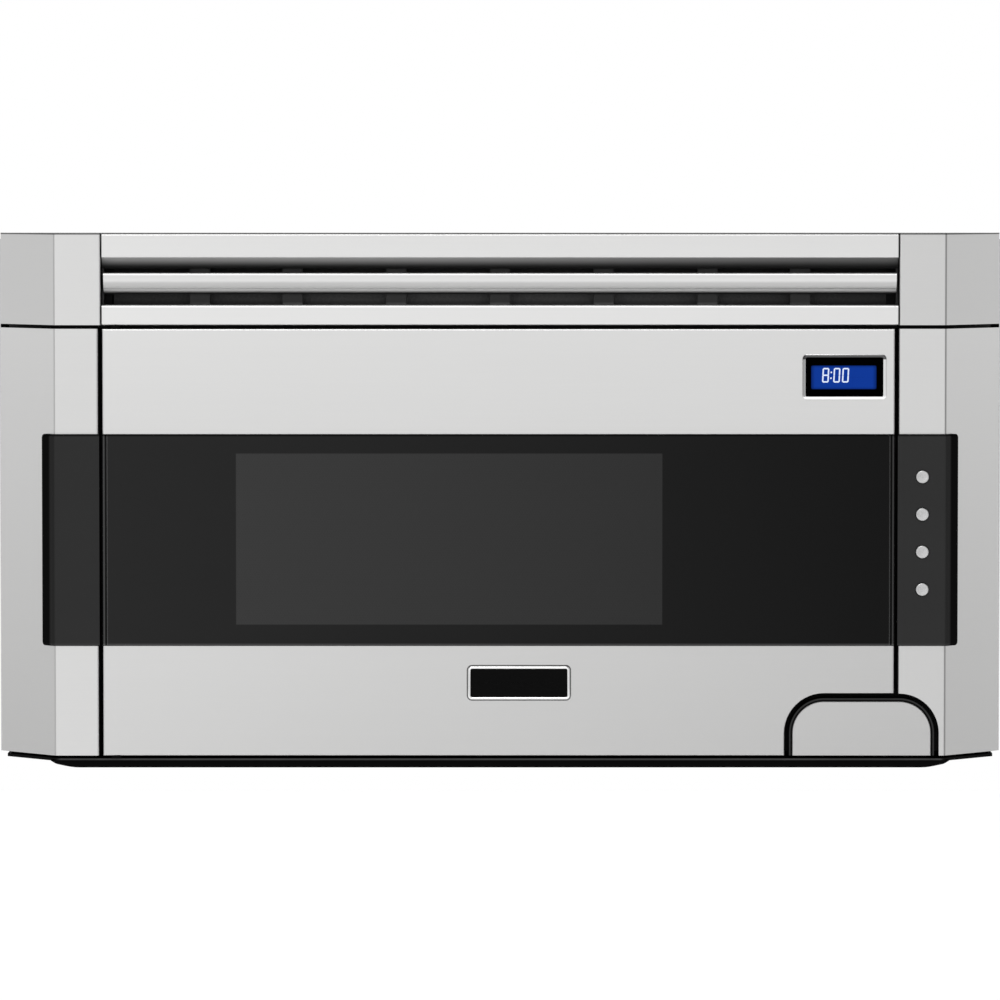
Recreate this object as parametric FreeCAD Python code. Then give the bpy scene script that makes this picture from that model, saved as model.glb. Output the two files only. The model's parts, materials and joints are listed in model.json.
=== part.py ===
import FreeCAD, Part
import math
import os

# Over-the-range microwave oven, in millimetres.
# X runs to the right seen from the front, Y from the room to the wall, Z up.
# The origin lies on the wall plane at mid-width, level with the lower edge of the door.

V = FreeCAD.Vector

# Overall size and sheet metal
WIDTH = 762.0
FRONT_HEIGHT = 395.0
DEPTH = 398.0  # wall to the steel face of the door
CASE_SHEET = 1.0
SKIN = 1.2  # steel of the front panels, the door and the front frame
BEND = 1.6  # inside radius of a fold
EDGE_BEND = 0.2  # the same at the sheet's edge beside a gap
TOP_DROP = 5.0  # case top below the top edge of the front

# Front: a flat middle with a flank folded back at 45 degrees on each side
FLANK = 43.5
COLUMN_FLAT = 33.0
CONTROL_FLAT = 35.3
DOOR_GAP = 3.2
DOOR_THICK = 39.0
DOOR_SEAL_GAP = 1.0
LAP = 14.0  # panel edge tucked inside the case side
FRAME_EDGE = 1.5  # room between the front frame and the panels around it
FRAME_FLANGE = 16.0

# Upper vent section
UPPER_HEIGHT = 69.2
SEAM = 2.8
CAP_FLAT = 35.2
CAP_GAP = 0.6
TOP_BAND = 17.7
SLOT_UPPER = 12.1
BLADE_HEIGHT = 16.3
SLOT_LOWER = 8.0
LIP_RUN = 12.0  # upper band's lip, sideways and down
LIP_FALL = 9.0
BLADE_ROUND = 13.0
RIB_SETBACK = 16.0
RIB_DEPTH = 10.0
RIB_WIDTH = 15.0
RIB_PITCH = 78.5
RIB_FROM_END = 73.6
FILTER_THICK = 12.0
FILTER_EDGE = 4.0
FILTER_SIDE = 8.0
OUTLET_EDGE = 6.0
OUTLET_SIDE = 24.9

# Glass band across the door and both columns
BAND_LOW = 83.3
BAND_BELOW_TOP = 79.5
BAND_THICK = 2.0
BAND_WRAP = 8.6
BAND_OVERHANG = 0.8  # glass past the column's edge beside the door
BAND_CORNER = 3.0
END_STRIP = 1.8  # strip at each end of the door glass, set off by a groove
END_GROOVE = 1.1
GROOVE_DEPTH = 1.2
GLASS_BEVEL = 0.8
GLASS_EDGE = 0.3

# Oven cavity and the window in front of it
CAVITY_SIDE = 51.3  # door edge to the cavity on the hinge side
BAY_WIDTH = 125.8  # door edge to the cavity on the control side
CAVITY_HEADROOM = 43.8  # cavity top below the door's top edge
CAVITY_FLOOR = 49.2
CAVITY_SHEET = 1.0
REAR_SPACE = 26.0
WINDOW_SIDE = 49.6  # cavity wall to the window
WINDOW_INSET = 15.4  # band edge to the window
WINDOW_EDGE = 8.0

# Door details
HINGE_INSET = 10.0
HINGE_SETBACK = 5.0
PIN_R = 3.0
PIN_LENGTH = 12.0
PIN_CLEAR = 0.05
HINGE_ARM = 1.6
HINGE_WIDTH = 9.0
HINGE_LEG = 24.0
BUSH_HEIGHT = 14.0
CHOKE_EDGE = 28.0
CHOKE_WALL = 18.0
CHOKE_COVER = 1.8
SCREEN_SHEET = 0.6
FIT = 0.2  # loose fit between fixed pieces

# Display and nameplate
DISPLAY_FROM_EDGE = 38.0
DISPLAY_FROM_TOP = 36.3
DISPLAY_WIDTH = 63.6
DISPLAY_HEIGHT = 34.6
DISPLAY_FRAME = 2.9
DISPLAY_PROUD = 2.0
DISPLAY_CORNER = 3.0
DISPLAY_BODY = 10.0
NAME_X = 14.3
NAME_Z = 55.2
NAME_WIDTH = 79.0
NAME_HEIGHT = 27.2
NAME_FRAME = 3.2
NAME_PROUD = 2.0
NAME_CORNER = 3.0

# Arched push pad that opens the door
ARCH_MARGIN = 4.4
ARCH_WIDTH = 116.9
ARCH_HEIGHT = 47.0
ARCH_RADIUS = 30.0
PAD_GAP = 3.4
PAD_RIM = 2.8
PAD_RIM_STEP = 0.5
PAD_BEVEL = 0.4
PAD_THICK = 13.0
PAD_TRAVEL = 4.0
PAD_STEM = 8.0
PAD_STEM_SPREAD = 35.0
PAD_STEM_LENGTH = 20.0
PUSH_Z = 22.0
SLIDE_CLEAR = 0.4

# Latch: bar with two hooks on the door, catch and lever on the frame
HOOK_LOW_Z = 69.0
HOOK_BELOW_TOP = 78.3
HOOK_THICK = 6.0
HOOK_HEIGHT = 6.0
HOOK_REACH = 37.0
BARB_DROP = 5.0
BARB_START = 14.0
BARB_LENGTH = 6.0
HOOK_LIFT = 3.0
LATCH_BAR = 8.0
CATCH_PLATE = 2.0
CATCH_DEPTH = 42.0
CHEEK = 4.0
CHEEK_SPREAD = 14.0
LEVER_WIDTH = 12.0
LEVER_ARM = 8.0
PIVOT_Z = 46.0
PIVOT_BACK = 17.0
PIVOT_R = 2.5
LEVER_TIP = 16.0
LEVER_BOSS_R = 6.0
SWITCH_COUNT = 3
SWITCH_WIDTH = 10.0
SWITCH_LENGTH = 20.0
SWITCH_HEIGHT = 16.0

# Push buttons on the control column
BUTTON_COUNT = 4
BUTTON_INSET = 17.5  # from the column's outer fold
BUTTON_LIFT = 5.3  # middle of the row above the middle of the band
BUTTON_PITCH = 28.4
BUTTON_R = 4.9
BUTTON_PROUD = 1.4
BUTTON_CLEAR = 0.4
BUTTON_TRAVEL = 1.2
BUTTON_FLANGE = 1.8
STEM_R = 2.5
STEM_LENGTH = 12.0
BOARD_THICK = 1.6
BOARD_BACK = 18.0
CARRIER_WIDTH = 22.0

# Base pan, filters and hood lamps
PAN_GAP = 2.35
PAN_SHEET = 1.2
PAN_FLANGE = 2.2  # flange with its hemmed edge
PAN_INSET = 4.0
DISH_DROP = 7.35
DISH_SPREAD = 4.0
DISH_STEP_RUN = 4.0  # steep first stretch of each end
DISH_STEP_FALL = 2.4
DISH_STEP_ROUND = 7.0
DISH_SLOPE = 17.0
DISH_ROUND = 45.0
DISH_SETBACK = 7.0
CURB = 6.0
CURB_INSET = 8.0
BOTTOM_FLANGE = 18.0
GREASE_SIDE = 25.5  # end of the dish to a filter
GREASE_MIDDLE = 15.0  # mid-width to a filter
GREASE_DEPTH = 130.0
GREASE_THICK = 3.0
GREASE_FRONT = 98.0
GREASE_RIM = 6.0
LAMP_X = 170.0
LAMP_FRONT = 55.0
LENS_WIDTH = 110.0
LENS_DEPTH = 36.0
LENS_THICK = 2.5
LENS_RIM = 4.0
BULB_R = 9.0
BULB_LENGTH = 22.0
BULB_ROUND = 7.0
SOCKET_R = 10.0
SOCKET_LENGTH = 26.0

# Turntable
TRAY_R = 158.0
TRAY_THICK = 5.0
TRAY_RIM = 9.0
RING_R = 88.0
RING_WALL = 8.0
RING_HEIGHT = 8.0
ROLLER_COUNT = 3
ROLLER_TURN = 90.0
ROLLER_R = 9.0
ROLLER_WIDTH = 8.0
AXLE_R = 2.5
AXLE_CLEAR = 0.1
RUN_GAP = 0.3
COUPLER_R = 12.0
LOBE_TURN = 30.0
SHAFT_R = 3.5
TABLE_MOTOR_R = 26.0
TABLE_MOTOR_HEIGHT = 18.0

# Microwave parts in the right bay
GUIDE_DEPTH = 38.0
GUIDE_LENGTH = 150.0
GUIDE_HEIGHT = 84.0
GUIDE_BACK = 95.0
GUIDE_SHEET = 1.0
PORT_LENGTH = 56.0
PORT_HEIGHT = 60.0
MICA = 0.8
TUBE_SIZE = 78.0
TUBE_LENGTH = 60.0
TUBE_FIN = 1.0
TUBE_FINS = 7
TUBE_CORE_R = 20.0
ANTENNA_R = 8.0
ANTENNA_LENGTH = 26.0
ANTENNA_ROOM = 2.0
IRON_WIDTH = 100.0
IRON_DEPTH = 64.0
IRON_HEIGHT = 80.0
WINDING = 14.0
IRON_FROM_WALL = 40.0
IRON_BACK = 45.0
CAN_WIDTH = 52.0
CAN_THICK = 32.0
CAN_HEIGHT = 95.0
CAN_FRONT = 45.0
CAN_ROUND = 14.0
LUG_R = 3.2
LUG_HEIGHT = 10.0
LUG_SPACING = 21.0

# Cooling fan
FAN_R = 54.0
FAN_TIP_GAP = 4.0
FAN_DEPTH = 18.0
FAN_HUB_R = 12.0
FAN_BLADES = 5
BLADE_SHEET = 1.5
FAN_PITCH = 32.0
FAN_CHORD = 14.4
SHROUD_BACK = 60.0
FAN_MOTOR_WIDTH = 60.0
FAN_MOTOR_HEIGHT = 46.0
FAN_MOTOR_DEPTH = 22.0
STRUT = 6.0
FAN_SHAFT_R = 2.5

# Hood blower on top of the cavity
BLOWER_OFFSET = 18.4
BLOWER_BACK = 95.0
SCROLL_R = 50.0
SCROLL_WIDTH = 85.0
SCROLL_SHEET = 1.5
SCROLL_FOOT = 6.0
SCROLL_OUTLET = 90.0
OUTLET_HEIGHT = 40.0
INLET_R = 32.0
WHEEL_R = 40.0
WHEEL_BLADE = 8.0
WHEEL_BLADES = 18
WHEEL_SHEET = 2.0
WHEEL_SIDE_GAP = 6.0
BLOWER_MOTOR_R = 36.0
BLOWER_MOTOR_LENGTH = 80.0
MOTOR_GAP = 5.0
BLOWER_SHAFT_R = 4.0

# Rear, wall plate, top and fasteners
WALL_PLATE = 2.0
WALL_PLATE_WIDTH = 660.0
WALL_PLATE_HIGH = 95.0
WALL_PLATE_LOW = -2.0
STUD_SPACING = 406.4
LAG_R = 4.0
LAG_Z = 45.0
LAG_ROOM = 9.0
TAB_X = 120.0
TAB_WIDTH = 30.0
TAB_REACH = 8.0
TAB_Z = 70.0
TAB_ROOM = 1.0
CASE_FLANGE = 14.0
SCREW_R = 1.7
SCREW_HEAD_R = 3.6
SCREW_HEAD = 1.6
SCREW_BITE = 5.0
SCREW_CLEAR = 0.2
SIDE_SCREWS = 3
TOP_SCREWS = 4
TOP_SCREW_PITCH = 200.0
SIDE_SCREW_LOW = 130.0
SIDE_SCREW_PITCH = 105.0
CABINET_BOLTS = 560.0
CABINET_BOLT_R = 3.3
CABINET_BOLT_BACK = 205.0
NUT_SIZE = 14.0
NUT_THICK = 6.0
DUCT_WIDTH = 254.0
DUCT_DEPTH = 82.6
DUCT_BACK = 62.0
DUCT_LAP = 10.0
DUCT_SHEET = 1.2
GLAND_SIDE = 50.0
GLAND_BACK = 35.0
GLAND_R = 8.0
GLAND_BORE = 4.5
GLAND_FLANGE = 3.0
GLAND_HEIGHT = 0.8
GLAND_TAIL = 6.0

# Planes that follow from the sizes above
HALF = WIDTH / 2
PANEL_HALF = HALF - CASE_SHEET
GLAND_X = HALF - GLAND_SIDE
FLAT_HALF = PANEL_HALF - FLANK
COLUMN_IN = FLAT_HALF - COLUMN_FLAT
CONTROL_IN = FLAT_HALF - CONTROL_FLAT
CAP_IN = FLAT_HALF - CAP_FLAT
DOOR_LEFT = DOOR_GAP - COLUMN_IN
DOOR_RIGHT = CONTROL_IN - DOOR_GAP
GRILLE_HALF = CAP_IN - CAP_GAP
Y_FACE = -DEPTH
Y_PLATE = Y_FACE + DOOR_THICK + DOOR_SEAL_GAP
Y_FRAME = Y_PLATE + SKIN
Y_CASE = Y_FACE + FLANK + CASE_SHEET
Y_REAR = -WALL_PLATE
Y_BACK = Y_REAR - CASE_SHEET
Z_TOP = FRONT_HEIGHT - TOP_DROP
Z_CEILING = Z_TOP - CASE_SHEET
Z_UPPER = FRONT_HEIGHT - UPPER_HEIGHT
DOOR_TOP = Z_UPPER - SEAM
Z_SLOT_UPPER = FRONT_HEIGHT - TOP_BAND
Z_BLADE = Z_SLOT_UPPER - SLOT_UPPER
Z_SLOT_LOWER = Z_BLADE - BLADE_HEIGHT
Z_LOWER_BAND = Z_SLOT_LOWER - SLOT_LOWER
BAND_TOP = DOOR_TOP - BAND_BELOW_TOP
FRAME_HALF = min(FLAT_HALF + Y_PLATE - Y_FACE, PANEL_HALF) - SKIN * math.sqrt(2) - FRAME_EDGE
CAVITY_LEFT = DOOR_LEFT + CAVITY_SIDE
CAVITY_RIGHT = DOOR_RIGHT - BAY_WIDTH
CAVITY_X = (CAVITY_LEFT + CAVITY_RIGHT) / 2
CAVITY_TOP = DOOR_TOP - CAVITY_HEADROOM
CAVITY_MID_Z = (CAVITY_FLOOR + CAVITY_TOP) / 2
WINDOW_WIDTH = CAVITY_RIGHT - CAVITY_LEFT - 2 * WINDOW_SIDE
WINDOW_HEIGHT = BAND_TOP - BAND_LOW - 2 * WINDOW_INSET
CAVITY_BACK = -REAR_SPACE
CAVITY_MID_Y = (Y_FRAME + CAVITY_BACK) / 2
BAY_WALL = CAVITY_RIGHT + CAVITY_SHEET
DECK = CAVITY_TOP + CAVITY_SHEET
HINGE_X = DOOR_LEFT + HINGE_INSET
HINGE_Y = Y_FACE + HINGE_SETBACK
DOOR_FRAME_BACK = Y_FACE + DOOR_THICK - CHOKE_COVER
DOOR_FRAME_FRONT = DOOR_FRAME_BACK - SKIN
DISPLAY_X = DOOR_RIGHT - DISPLAY_FROM_EDGE
DISPLAY_Z = DOOR_TOP - DISPLAY_FROM_TOP
BUTTON_X = FLAT_HALF - BUTTON_INSET
BUTTON_TOP_Z = (BAND_LOW + BAND_TOP + (BUTTON_COUNT - 1) * BUTTON_PITCH) / 2 + BUTTON_LIFT
ARCH_RIGHT = FLAT_HALF - ARCH_MARGIN
ARCH_LEFT = ARCH_RIGHT - ARCH_WIDTH
PAD_X = (ARCH_LEFT + ARCH_RIGHT) / 2
PAD_FRONT = Y_FACE + PAD_RIM_STEP
PAD_BACK = PAD_FRONT + PAD_THICK
PIVOT_Y = Y_FRAME + PIVOT_BACK
Z_PAN = -PAN_GAP
Z_RIM = Z_PAN - PAN_FLANGE
Z_DISH = Z_PAN - DISH_DROP
Z_DISH_FLOOR = Z_DISH + PAN_SHEET
DISH_HALF = FLAT_HALF + DISH_SPREAD
GREASE_WIDTH = DISH_HALF - GREASE_SIDE - GREASE_MIDDLE
GREASE_X = GREASE_MIDDLE + GREASE_WIDTH / 2
CURB_FRONT = Y_FRAME + CURB_INSET
TABLE_Z = CAVITY_FLOOR + RUN_GAP + ROLLER_R
TRAY_Z = TABLE_Z + ROLLER_R + RUN_GAP
GUIDE_RIGHT = BAY_WALL + GUIDE_DEPTH
GUIDE_Z = CAVITY_TOP - GUIDE_HEIGHT / 2
TUBE_Y = -GUIDE_BACK - TUBE_SIZE / 2
FAN_X = GUIDE_RIGHT + FAN_R
BLOWER_X = CAVITY_X + BLOWER_OFFSET
BLOWER_Z = DECK + SCROLL_FOOT + SCROLL_R
SCROLL_IN = BLOWER_MOTOR_LENGTH / 2 + MOTOR_GAP
STEM_SPOTS = (PAD_X - PAD_STEM_SPREAD, PAD_X + PAD_STEM_SPREAD)
HOOK_HIGH_Z = DOOR_TOP - HOOK_BELOW_TOP
HOOK_SPOTS = (HOOK_LOW_Z, HOOK_HIGH_Z)


# Basic shapes

def box(x0, x1, y0, y1, z0, z1):
    """Block between two corners."""
    return Part.makeBox(x1 - x0, y1 - y0, z1 - z0, V(x0, y0, z0))


def rod(radius, start, axis, length):
    """Round bar from start along axis."""
    return Part.makeCylinder(radius, length, V(*start), V(*axis))


def tube(outer, inner, start, axis, length):
    """Round bar with a bore."""
    return rod(outer, start, axis, length).cut(rod(inner, start, axis, length))


def fused(first, *others):
    """One solid from pieces that overlap or share faces."""
    return first.multiFuse(list(others)).removeSplitter()


def rounded_face(corners, place):
    """Flat face through corners (u, v, radius), where each radius is a tangent arc."""
    stops = []
    for i, (u, v, radius) in enumerate(corners):
        here = V(u, v, 0)
        before = corners[i - 1]
        after = corners[(i + 1) % len(corners)]
        back = (V(before[0], before[1], 0) - here).normalize()
        ahead = (V(after[0], after[1], 0) - here).normalize()
        half_turn = back.getAngle(ahead) / 2
        reach = radius / math.tan(half_turn)
        middle = here
        if radius > 0:
            inward = (back + ahead).normalize()
            middle = here + inward * (radius / math.sin(half_turn) - radius)
        stops.append((here + back * reach, middle, here + ahead * reach, radius))
    edges = []
    for i, (first, middle, last, radius) in enumerate(stops):
        if radius > 0:
            edges.append(Part.Arc(place(first), place(middle), place(last)).toShape())
        following = stops[(i + 1) % len(stops)][0]
        if last.distanceToPoint(following) > 1e-6:
            edges.append(Part.makeLine(place(last), place(following)))
    return Part.Face(Part.Wire(edges))


def prism_x(corners, x0, x1):
    """Section with corners (y, z, radius), drawn out along X."""
    return rounded_face(corners, lambda p: V(x0, p.x, p.y)).extrude(V(x1 - x0, 0, 0))


def prism_y(corners, y0, y1):
    """Section with corners (x, z, radius), drawn out along Y."""
    return rounded_face(corners, lambda p: V(p.x, y0, p.y)).extrude(V(0, y1 - y0, 0))


def prism_z(corners, z0, z1):
    """Section with corners (x, y, radius), drawn out along Z."""
    return rounded_face(corners, lambda p: V(p.x, p.y, z0)).extrude(V(0, 0, z1 - z0))


def rectangle(u0, u1, v0, v1, radius=0.0):
    """Corners of a rectangle with rounded corners."""
    return [(u0, v0, radius), (u1, v0, radius), (u1, v1, radius), (u0, v1, radius)]


def folded(path, sheet, radii):
    """Corners of a folded sheet: path is its outer face and the sheet lies to the path's left.

    radii gives the inside radius of each fold along the path.
    """
    points = [V(u, v, 0) for u, v in path]
    ways = [(b - a).normalize() for a, b in zip(points, points[1:])]
    lefts = [V(-way.y, way.x, 0) for way in ways]
    outer = [(points[0].x, points[0].y, 0.0)]
    first = points[0] + lefts[0] * sheet
    inner = [(first.x, first.y, 0.0)]
    for i, point in enumerate(points[1:-1]):
        mitre = (lefts[i] + lefts[i + 1]) * (sheet / (1 + lefts[i].dot(lefts[i + 1])))
        turns_left = ways[i].cross(ways[i + 1]).z > 0
        near, far = (radii[i] + sheet, radii[i]) if turns_left else (radii[i], radii[i] + sheet)
        outer.append((point.x, point.y, near))
        inner.append((point.x + mitre.x, point.y + mitre.y, far))
    last = points[-1] + lefts[-1] * sheet
    outer.append((points[-1].x, points[-1].y, 0.0))
    inner.append((last.x, last.y, 0.0))
    return outer + inner[::-1]


def mirrored(shape):
    """The same piece for the other side of the object."""
    return shape.mirror(V(0, 0, 0), V(1, 0, 0))


def softened(shape, radius, chosen):
    """Shape with the chosen edges rounded."""
    return shape.makeFillet(radius, [edge for edge in shape.Edges if chosen(edge)])


def runs_along(edge, axis):
    """Whether a straight edge runs along an axis."""
    ends = [vertex.Point for vertex in edge.Vertexes]
    if len(ends) < 2 or edge.Curve.TypeId != "Part::GeomLine":
        return False
    return (ends[1] - ends[0]).normalize().cross(V(*axis)).Length < 1e-6


# Outlines shared by neighbours

def arch(inset, foot):
    """Arched opening or pad: corners (x, z, radius), inset from the opening's edge."""
    radius = ARCH_RADIUS - inset
    left = ARCH_LEFT + inset
    right = ARCH_RIGHT - inset
    top = ARCH_HEIGHT - inset
    return [(left, foot, 0), (right, foot, 0), (right, top, radius), (left, top, radius)]


def door_outline(inset):
    """Door seen from the front, with the arched notch in its lower right corner."""
    left = DOOR_LEFT + inset
    right = DOOR_RIGHT - inset
    notch_x = ARCH_LEFT - inset
    notch_z = ARCH_HEIGHT + inset
    top = DOOR_TOP - inset
    return [(left, inset, 0), (notch_x, inset, 0), (notch_x, notch_z, ARCH_RADIUS + inset),
            (right, notch_z, 0), (right, top, 0), (left, top, 0)]


def window(edge):
    """Window rectangle (x0, x1, z0, z1), widened by edge."""
    half_width = WINDOW_WIDTH / 2 + edge
    half_height = WINDOW_HEIGHT / 2 + edge
    return (CAVITY_X - half_width, CAVITY_X + half_width,
            CAVITY_MID_Z - half_height, CAVITY_MID_Z + half_height)


def left_panel_path(inner_x):
    """Left panel in plan, from its lap inside the case to its inner fold on the front frame."""
    return [(-PANEL_HALF, Y_CASE + LAP), (-PANEL_HALF, Y_FACE + FLANK), (-FLAT_HALF, Y_FACE),
            (-inner_x, Y_FACE), (-inner_x, Y_PLATE)]


def plan_outline(inset, back):
    """Front outline in plan, inset all round, closed along the line y = back."""
    shift = inset * (math.sqrt(2) - 1)
    side = PANEL_HALF - inset
    flat = FLAT_HALF - shift
    flank_end = Y_FACE + FLANK + shift
    return [(-side, back, 0), (-side, flank_end, 0), (-flat, Y_FACE + inset, BEND),
            (flat, Y_FACE + inset, BEND), (side, flank_end, 0), (side, back, 0)]


def button_spots():
    """Heights of the push buttons, from the top one down."""
    return [BUTTON_TOP_Z - i * BUTTON_PITCH for i in range(BUTTON_COUNT)]


def rear_screw_spots():
    """Case screws on the rear panel: (x, z)."""
    edge = HALF - CASE_SHEET - CASE_FLANGE / 2
    row = Z_CEILING - CASE_FLANGE / 2
    middle = (TOP_SCREWS - 1) / 2
    spots = [((i - middle) * TOP_SCREW_PITCH, row) for i in range(TOP_SCREWS)]
    for i in range(SIDE_SCREWS):
        height = SIDE_SCREW_LOW + i * SIDE_SCREW_PITCH
        spots += [(-edge, height), (edge, height)]
    return spots


# Case and chassis

def case_wrap():
    """Top sheet and two side sheets, each with a flange at the back, the sides with one along the bottom."""
    inside = HALF - CASE_SHEET
    back = Y_BACK - CASE_SHEET
    rim = inside - CASE_FLANGE
    foot_front = max(Y_FRAME + FRAME_FLANGE, Y_CASE + LAP) + FIT
    top = fused(box(-HALF, HALF, Y_CASE, Y_BACK, Z_CEILING, Z_TOP),
                box(-rim, rim, back, Y_BACK, Z_CEILING - CASE_FLANGE, Z_CEILING))
    side = fused(box(-HALF, -inside, Y_CASE, Y_BACK, 0, Z_CEILING),
                 box(-inside, -rim, back, Y_BACK, 0, Z_CEILING),
                 box(-inside, BOTTOM_FLANGE - HALF, foot_front, Y_BACK, 0, CASE_SHEET))
    sheets = Part.makeCompound([top, side, mirrored(side)])
    for x, z in rear_screw_spots():
        sheets = sheets.cut(rod(SCREW_R + SCREW_CLEAR, (x, back, z), (0, 1, 0), CASE_SHEET))
    for x in (-CABINET_BOLTS / 2, CABINET_BOLTS / 2):
        hole = rod(CABINET_BOLT_R, (x, -CABINET_BOLT_BACK, Z_CEILING), (0, 0, 1), CASE_SHEET)
        sheets = sheets.cut(hole)
    sheets = sheets.cut(box(-DUCT_WIDTH / 2, DUCT_WIDTH / 2, -DUCT_BACK - DUCT_DEPTH / 2,
                            -DUCT_BACK + DUCT_DEPTH / 2, Z_CEILING, Z_TOP))
    return sheets.cut(rod(GLAND_R + FIT, (GLAND_X, -GLAND_BACK, Z_CEILING), (0, 0, 1), CASE_SHEET))


def rear_panel():
    """Back sheet, with room for the lag screw heads and slots for the wall plate's tabs."""
    sheet = box(-HALF, HALF, Y_BACK, Y_REAR, 0, Z_TOP)
    for x, z in rear_screw_spots():
        sheet = sheet.cut(rod(SCREW_R + SCREW_CLEAR, (x, Y_BACK, z), (0, 1, 0), CASE_SHEET))
    for side in (-1, 1):
        sheet = sheet.cut(rod(LAG_ROOM, (side * STUD_SPACING / 2, Y_BACK, LAG_Z), (0, 1, 0), CASE_SHEET))
        half_slot = TAB_WIDTH / 2 + TAB_ROOM
        sheet = sheet.cut(box(side * TAB_X - half_slot, side * TAB_X + half_slot, Y_BACK, Y_REAR,
                              TAB_Z - TAB_ROOM, TAB_Z + WALL_PLATE))
    return sheet


def wall_plate():
    """Plate screwed to the wall studs, with two tabs that carry the oven's back."""
    half = WALL_PLATE_WIDTH / 2
    plate = box(-half, half, -WALL_PLATE, 0, WALL_PLATE_LOW, WALL_PLATE_HIGH)
    for side in (-1, 1):
        plate = plate.cut(rod(LAG_R, (side * STUD_SPACING / 2, -WALL_PLATE, LAG_Z), (0, 1, 0), WALL_PLATE))
        tab = box(side * TAB_X - TAB_WIDTH / 2, side * TAB_X + TAB_WIDTH / 2, -WALL_PLATE - TAB_REACH, 0,
                  TAB_Z, TAB_Z + WALL_PLATE)
        plate = fused(plate, tab)
    return plate


def front_frame():
    """Plate behind the door that carries the cavity, the hinges and the front panels."""
    plate = box(-FRAME_HALF, FRAME_HALF, Y_PLATE, Y_FRAME, 0, Z_CEILING)
    low = box(-FRAME_HALF, FRAME_HALF, Y_PLATE, Y_FRAME + FRAME_FLANGE, 0, SKIN)
    high = box(-FRAME_HALF, FRAME_HALF, Y_PLATE, Y_FRAME + FRAME_FLANGE, Z_CEILING - SKIN, Z_CEILING)
    lap_room = PANEL_HALF - SKIN - FIT
    frame = fused(plate, low, high)
    frame = frame.common(box(-lap_room, lap_room, Y_PLATE, 0, 0, Z_CEILING))
    frame = frame.cut(box(CAVITY_LEFT, CAVITY_RIGHT, Y_PLATE, Y_FRAME, CAVITY_FLOOR, CAVITY_TOP))
    outlet = GRILLE_HALF - OUTLET_SIDE
    frame = frame.cut(box(-outlet, outlet, Y_PLATE, Y_FRAME, Z_UPPER + OUTLET_EDGE,
                          Z_CEILING - SKIN - OUTLET_EDGE))
    for z in HOOK_SPOTS:
        frame = frame.cut(hook_slot(Y_PLATE, Y_FRAME, z))
    room = PAD_STEM / 2 + SLIDE_CLEAR
    return frame.cut(box(PAD_X - room, PAD_X + room, Y_PLATE, Y_FRAME, PUSH_Z - room, PUSH_Z + room))


def hook_slot(y0, y1, z):
    """Hole for a latch hook, wider towards the door's swing and higher for its lift."""
    half = HOOK_THICK / 2
    return box(PAD_X - half - HOOK_LIFT, PAD_X + half + 2 * HOOK_LIFT, y0, y1,
               z - HOOK_HEIGHT / 2 - BARB_DROP - HOOK_LIFT, z + HOOK_HEIGHT / 2 + 2 * HOOK_LIFT)


def oven_cavity():
    """Oven box welded from five sheets, open at the front, with a shaft hole and a waveguide port."""
    s = CAVITY_SHEET
    back = CAVITY_BACK + s
    floor = box(CAVITY_LEFT - s, CAVITY_RIGHT + s, Y_FRAME, back, CAVITY_FLOOR - s, CAVITY_FLOOR)
    floor = floor.cut(rod(COUPLER_R, (CAVITY_X, CAVITY_MID_Y, CAVITY_FLOOR - s), (0, 0, 1), s))
    ceiling = box(CAVITY_LEFT - s, CAVITY_RIGHT + s, Y_FRAME, back, CAVITY_TOP, DECK)
    left = box(CAVITY_LEFT - s, CAVITY_LEFT, Y_FRAME, back, CAVITY_FLOOR, CAVITY_TOP)
    left = left.cut(rod(BULB_R + FIT, (CAVITY_LEFT - s, CAVITY_MID_Y, CAVITY_MID_Z), (1, 0, 0), s))
    right = box(CAVITY_RIGHT, CAVITY_RIGHT + s, Y_FRAME, back, CAVITY_FLOOR, CAVITY_TOP)
    right = right.cut(port(CAVITY_RIGHT, CAVITY_RIGHT + s, 0))
    rear = box(CAVITY_LEFT, CAVITY_RIGHT, CAVITY_BACK, back, CAVITY_FLOOR, CAVITY_TOP)
    return Part.makeCompound([floor, ceiling, left, right, rear])


def port(x0, x1, edge):
    """Opening where the waveguide meets the cavity, widened by edge."""
    middle = -GUIDE_BACK - GUIDE_LENGTH + PORT_LENGTH
    return box(x0, x1, middle - PORT_LENGTH / 2 - edge, middle + PORT_LENGTH / 2 + edge,
               GUIDE_Z - PORT_HEIGHT / 2 - edge, GUIDE_Z + PORT_HEIGHT / 2 + edge)


def base_pan():
    """Shallow black pan under the oven: a flat flange, a dish with rising ends and an inner curb."""
    flange = prism_z(plan_outline(PAN_INSET, Y_BACK), Z_RIM, Z_PAN)
    mouth = DISH_HALF - BOTTOM_FLANGE
    flange = flange.cut(box(-mouth, mouth, CURB_FRONT + CURB, -REAR_SPACE, Z_RIM, Z_PAN))
    outer = HALF - CURB_INSET
    curb = box(-outer, outer, CURB_FRONT, Y_BACK - CASE_SHEET, Z_PAN, 0)
    inner = outer - CURB
    curb = curb.cut(box(-inner, inner, CURB_FRONT + CURB, Y_BACK - CASE_SHEET - CURB, Z_PAN, 0))
    pan = fused(flange, dish(), curb)
    for side in (-1, 1):
        pan = pan.cut(grease_block(side, GREASE_RIM, Z_DISH, Z_DISH_FLOOR))
        pan = pan.cut(lens_block(side, LENS_RIM, Z_DISH, Z_DISH_FLOOR))
    return pan


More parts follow.
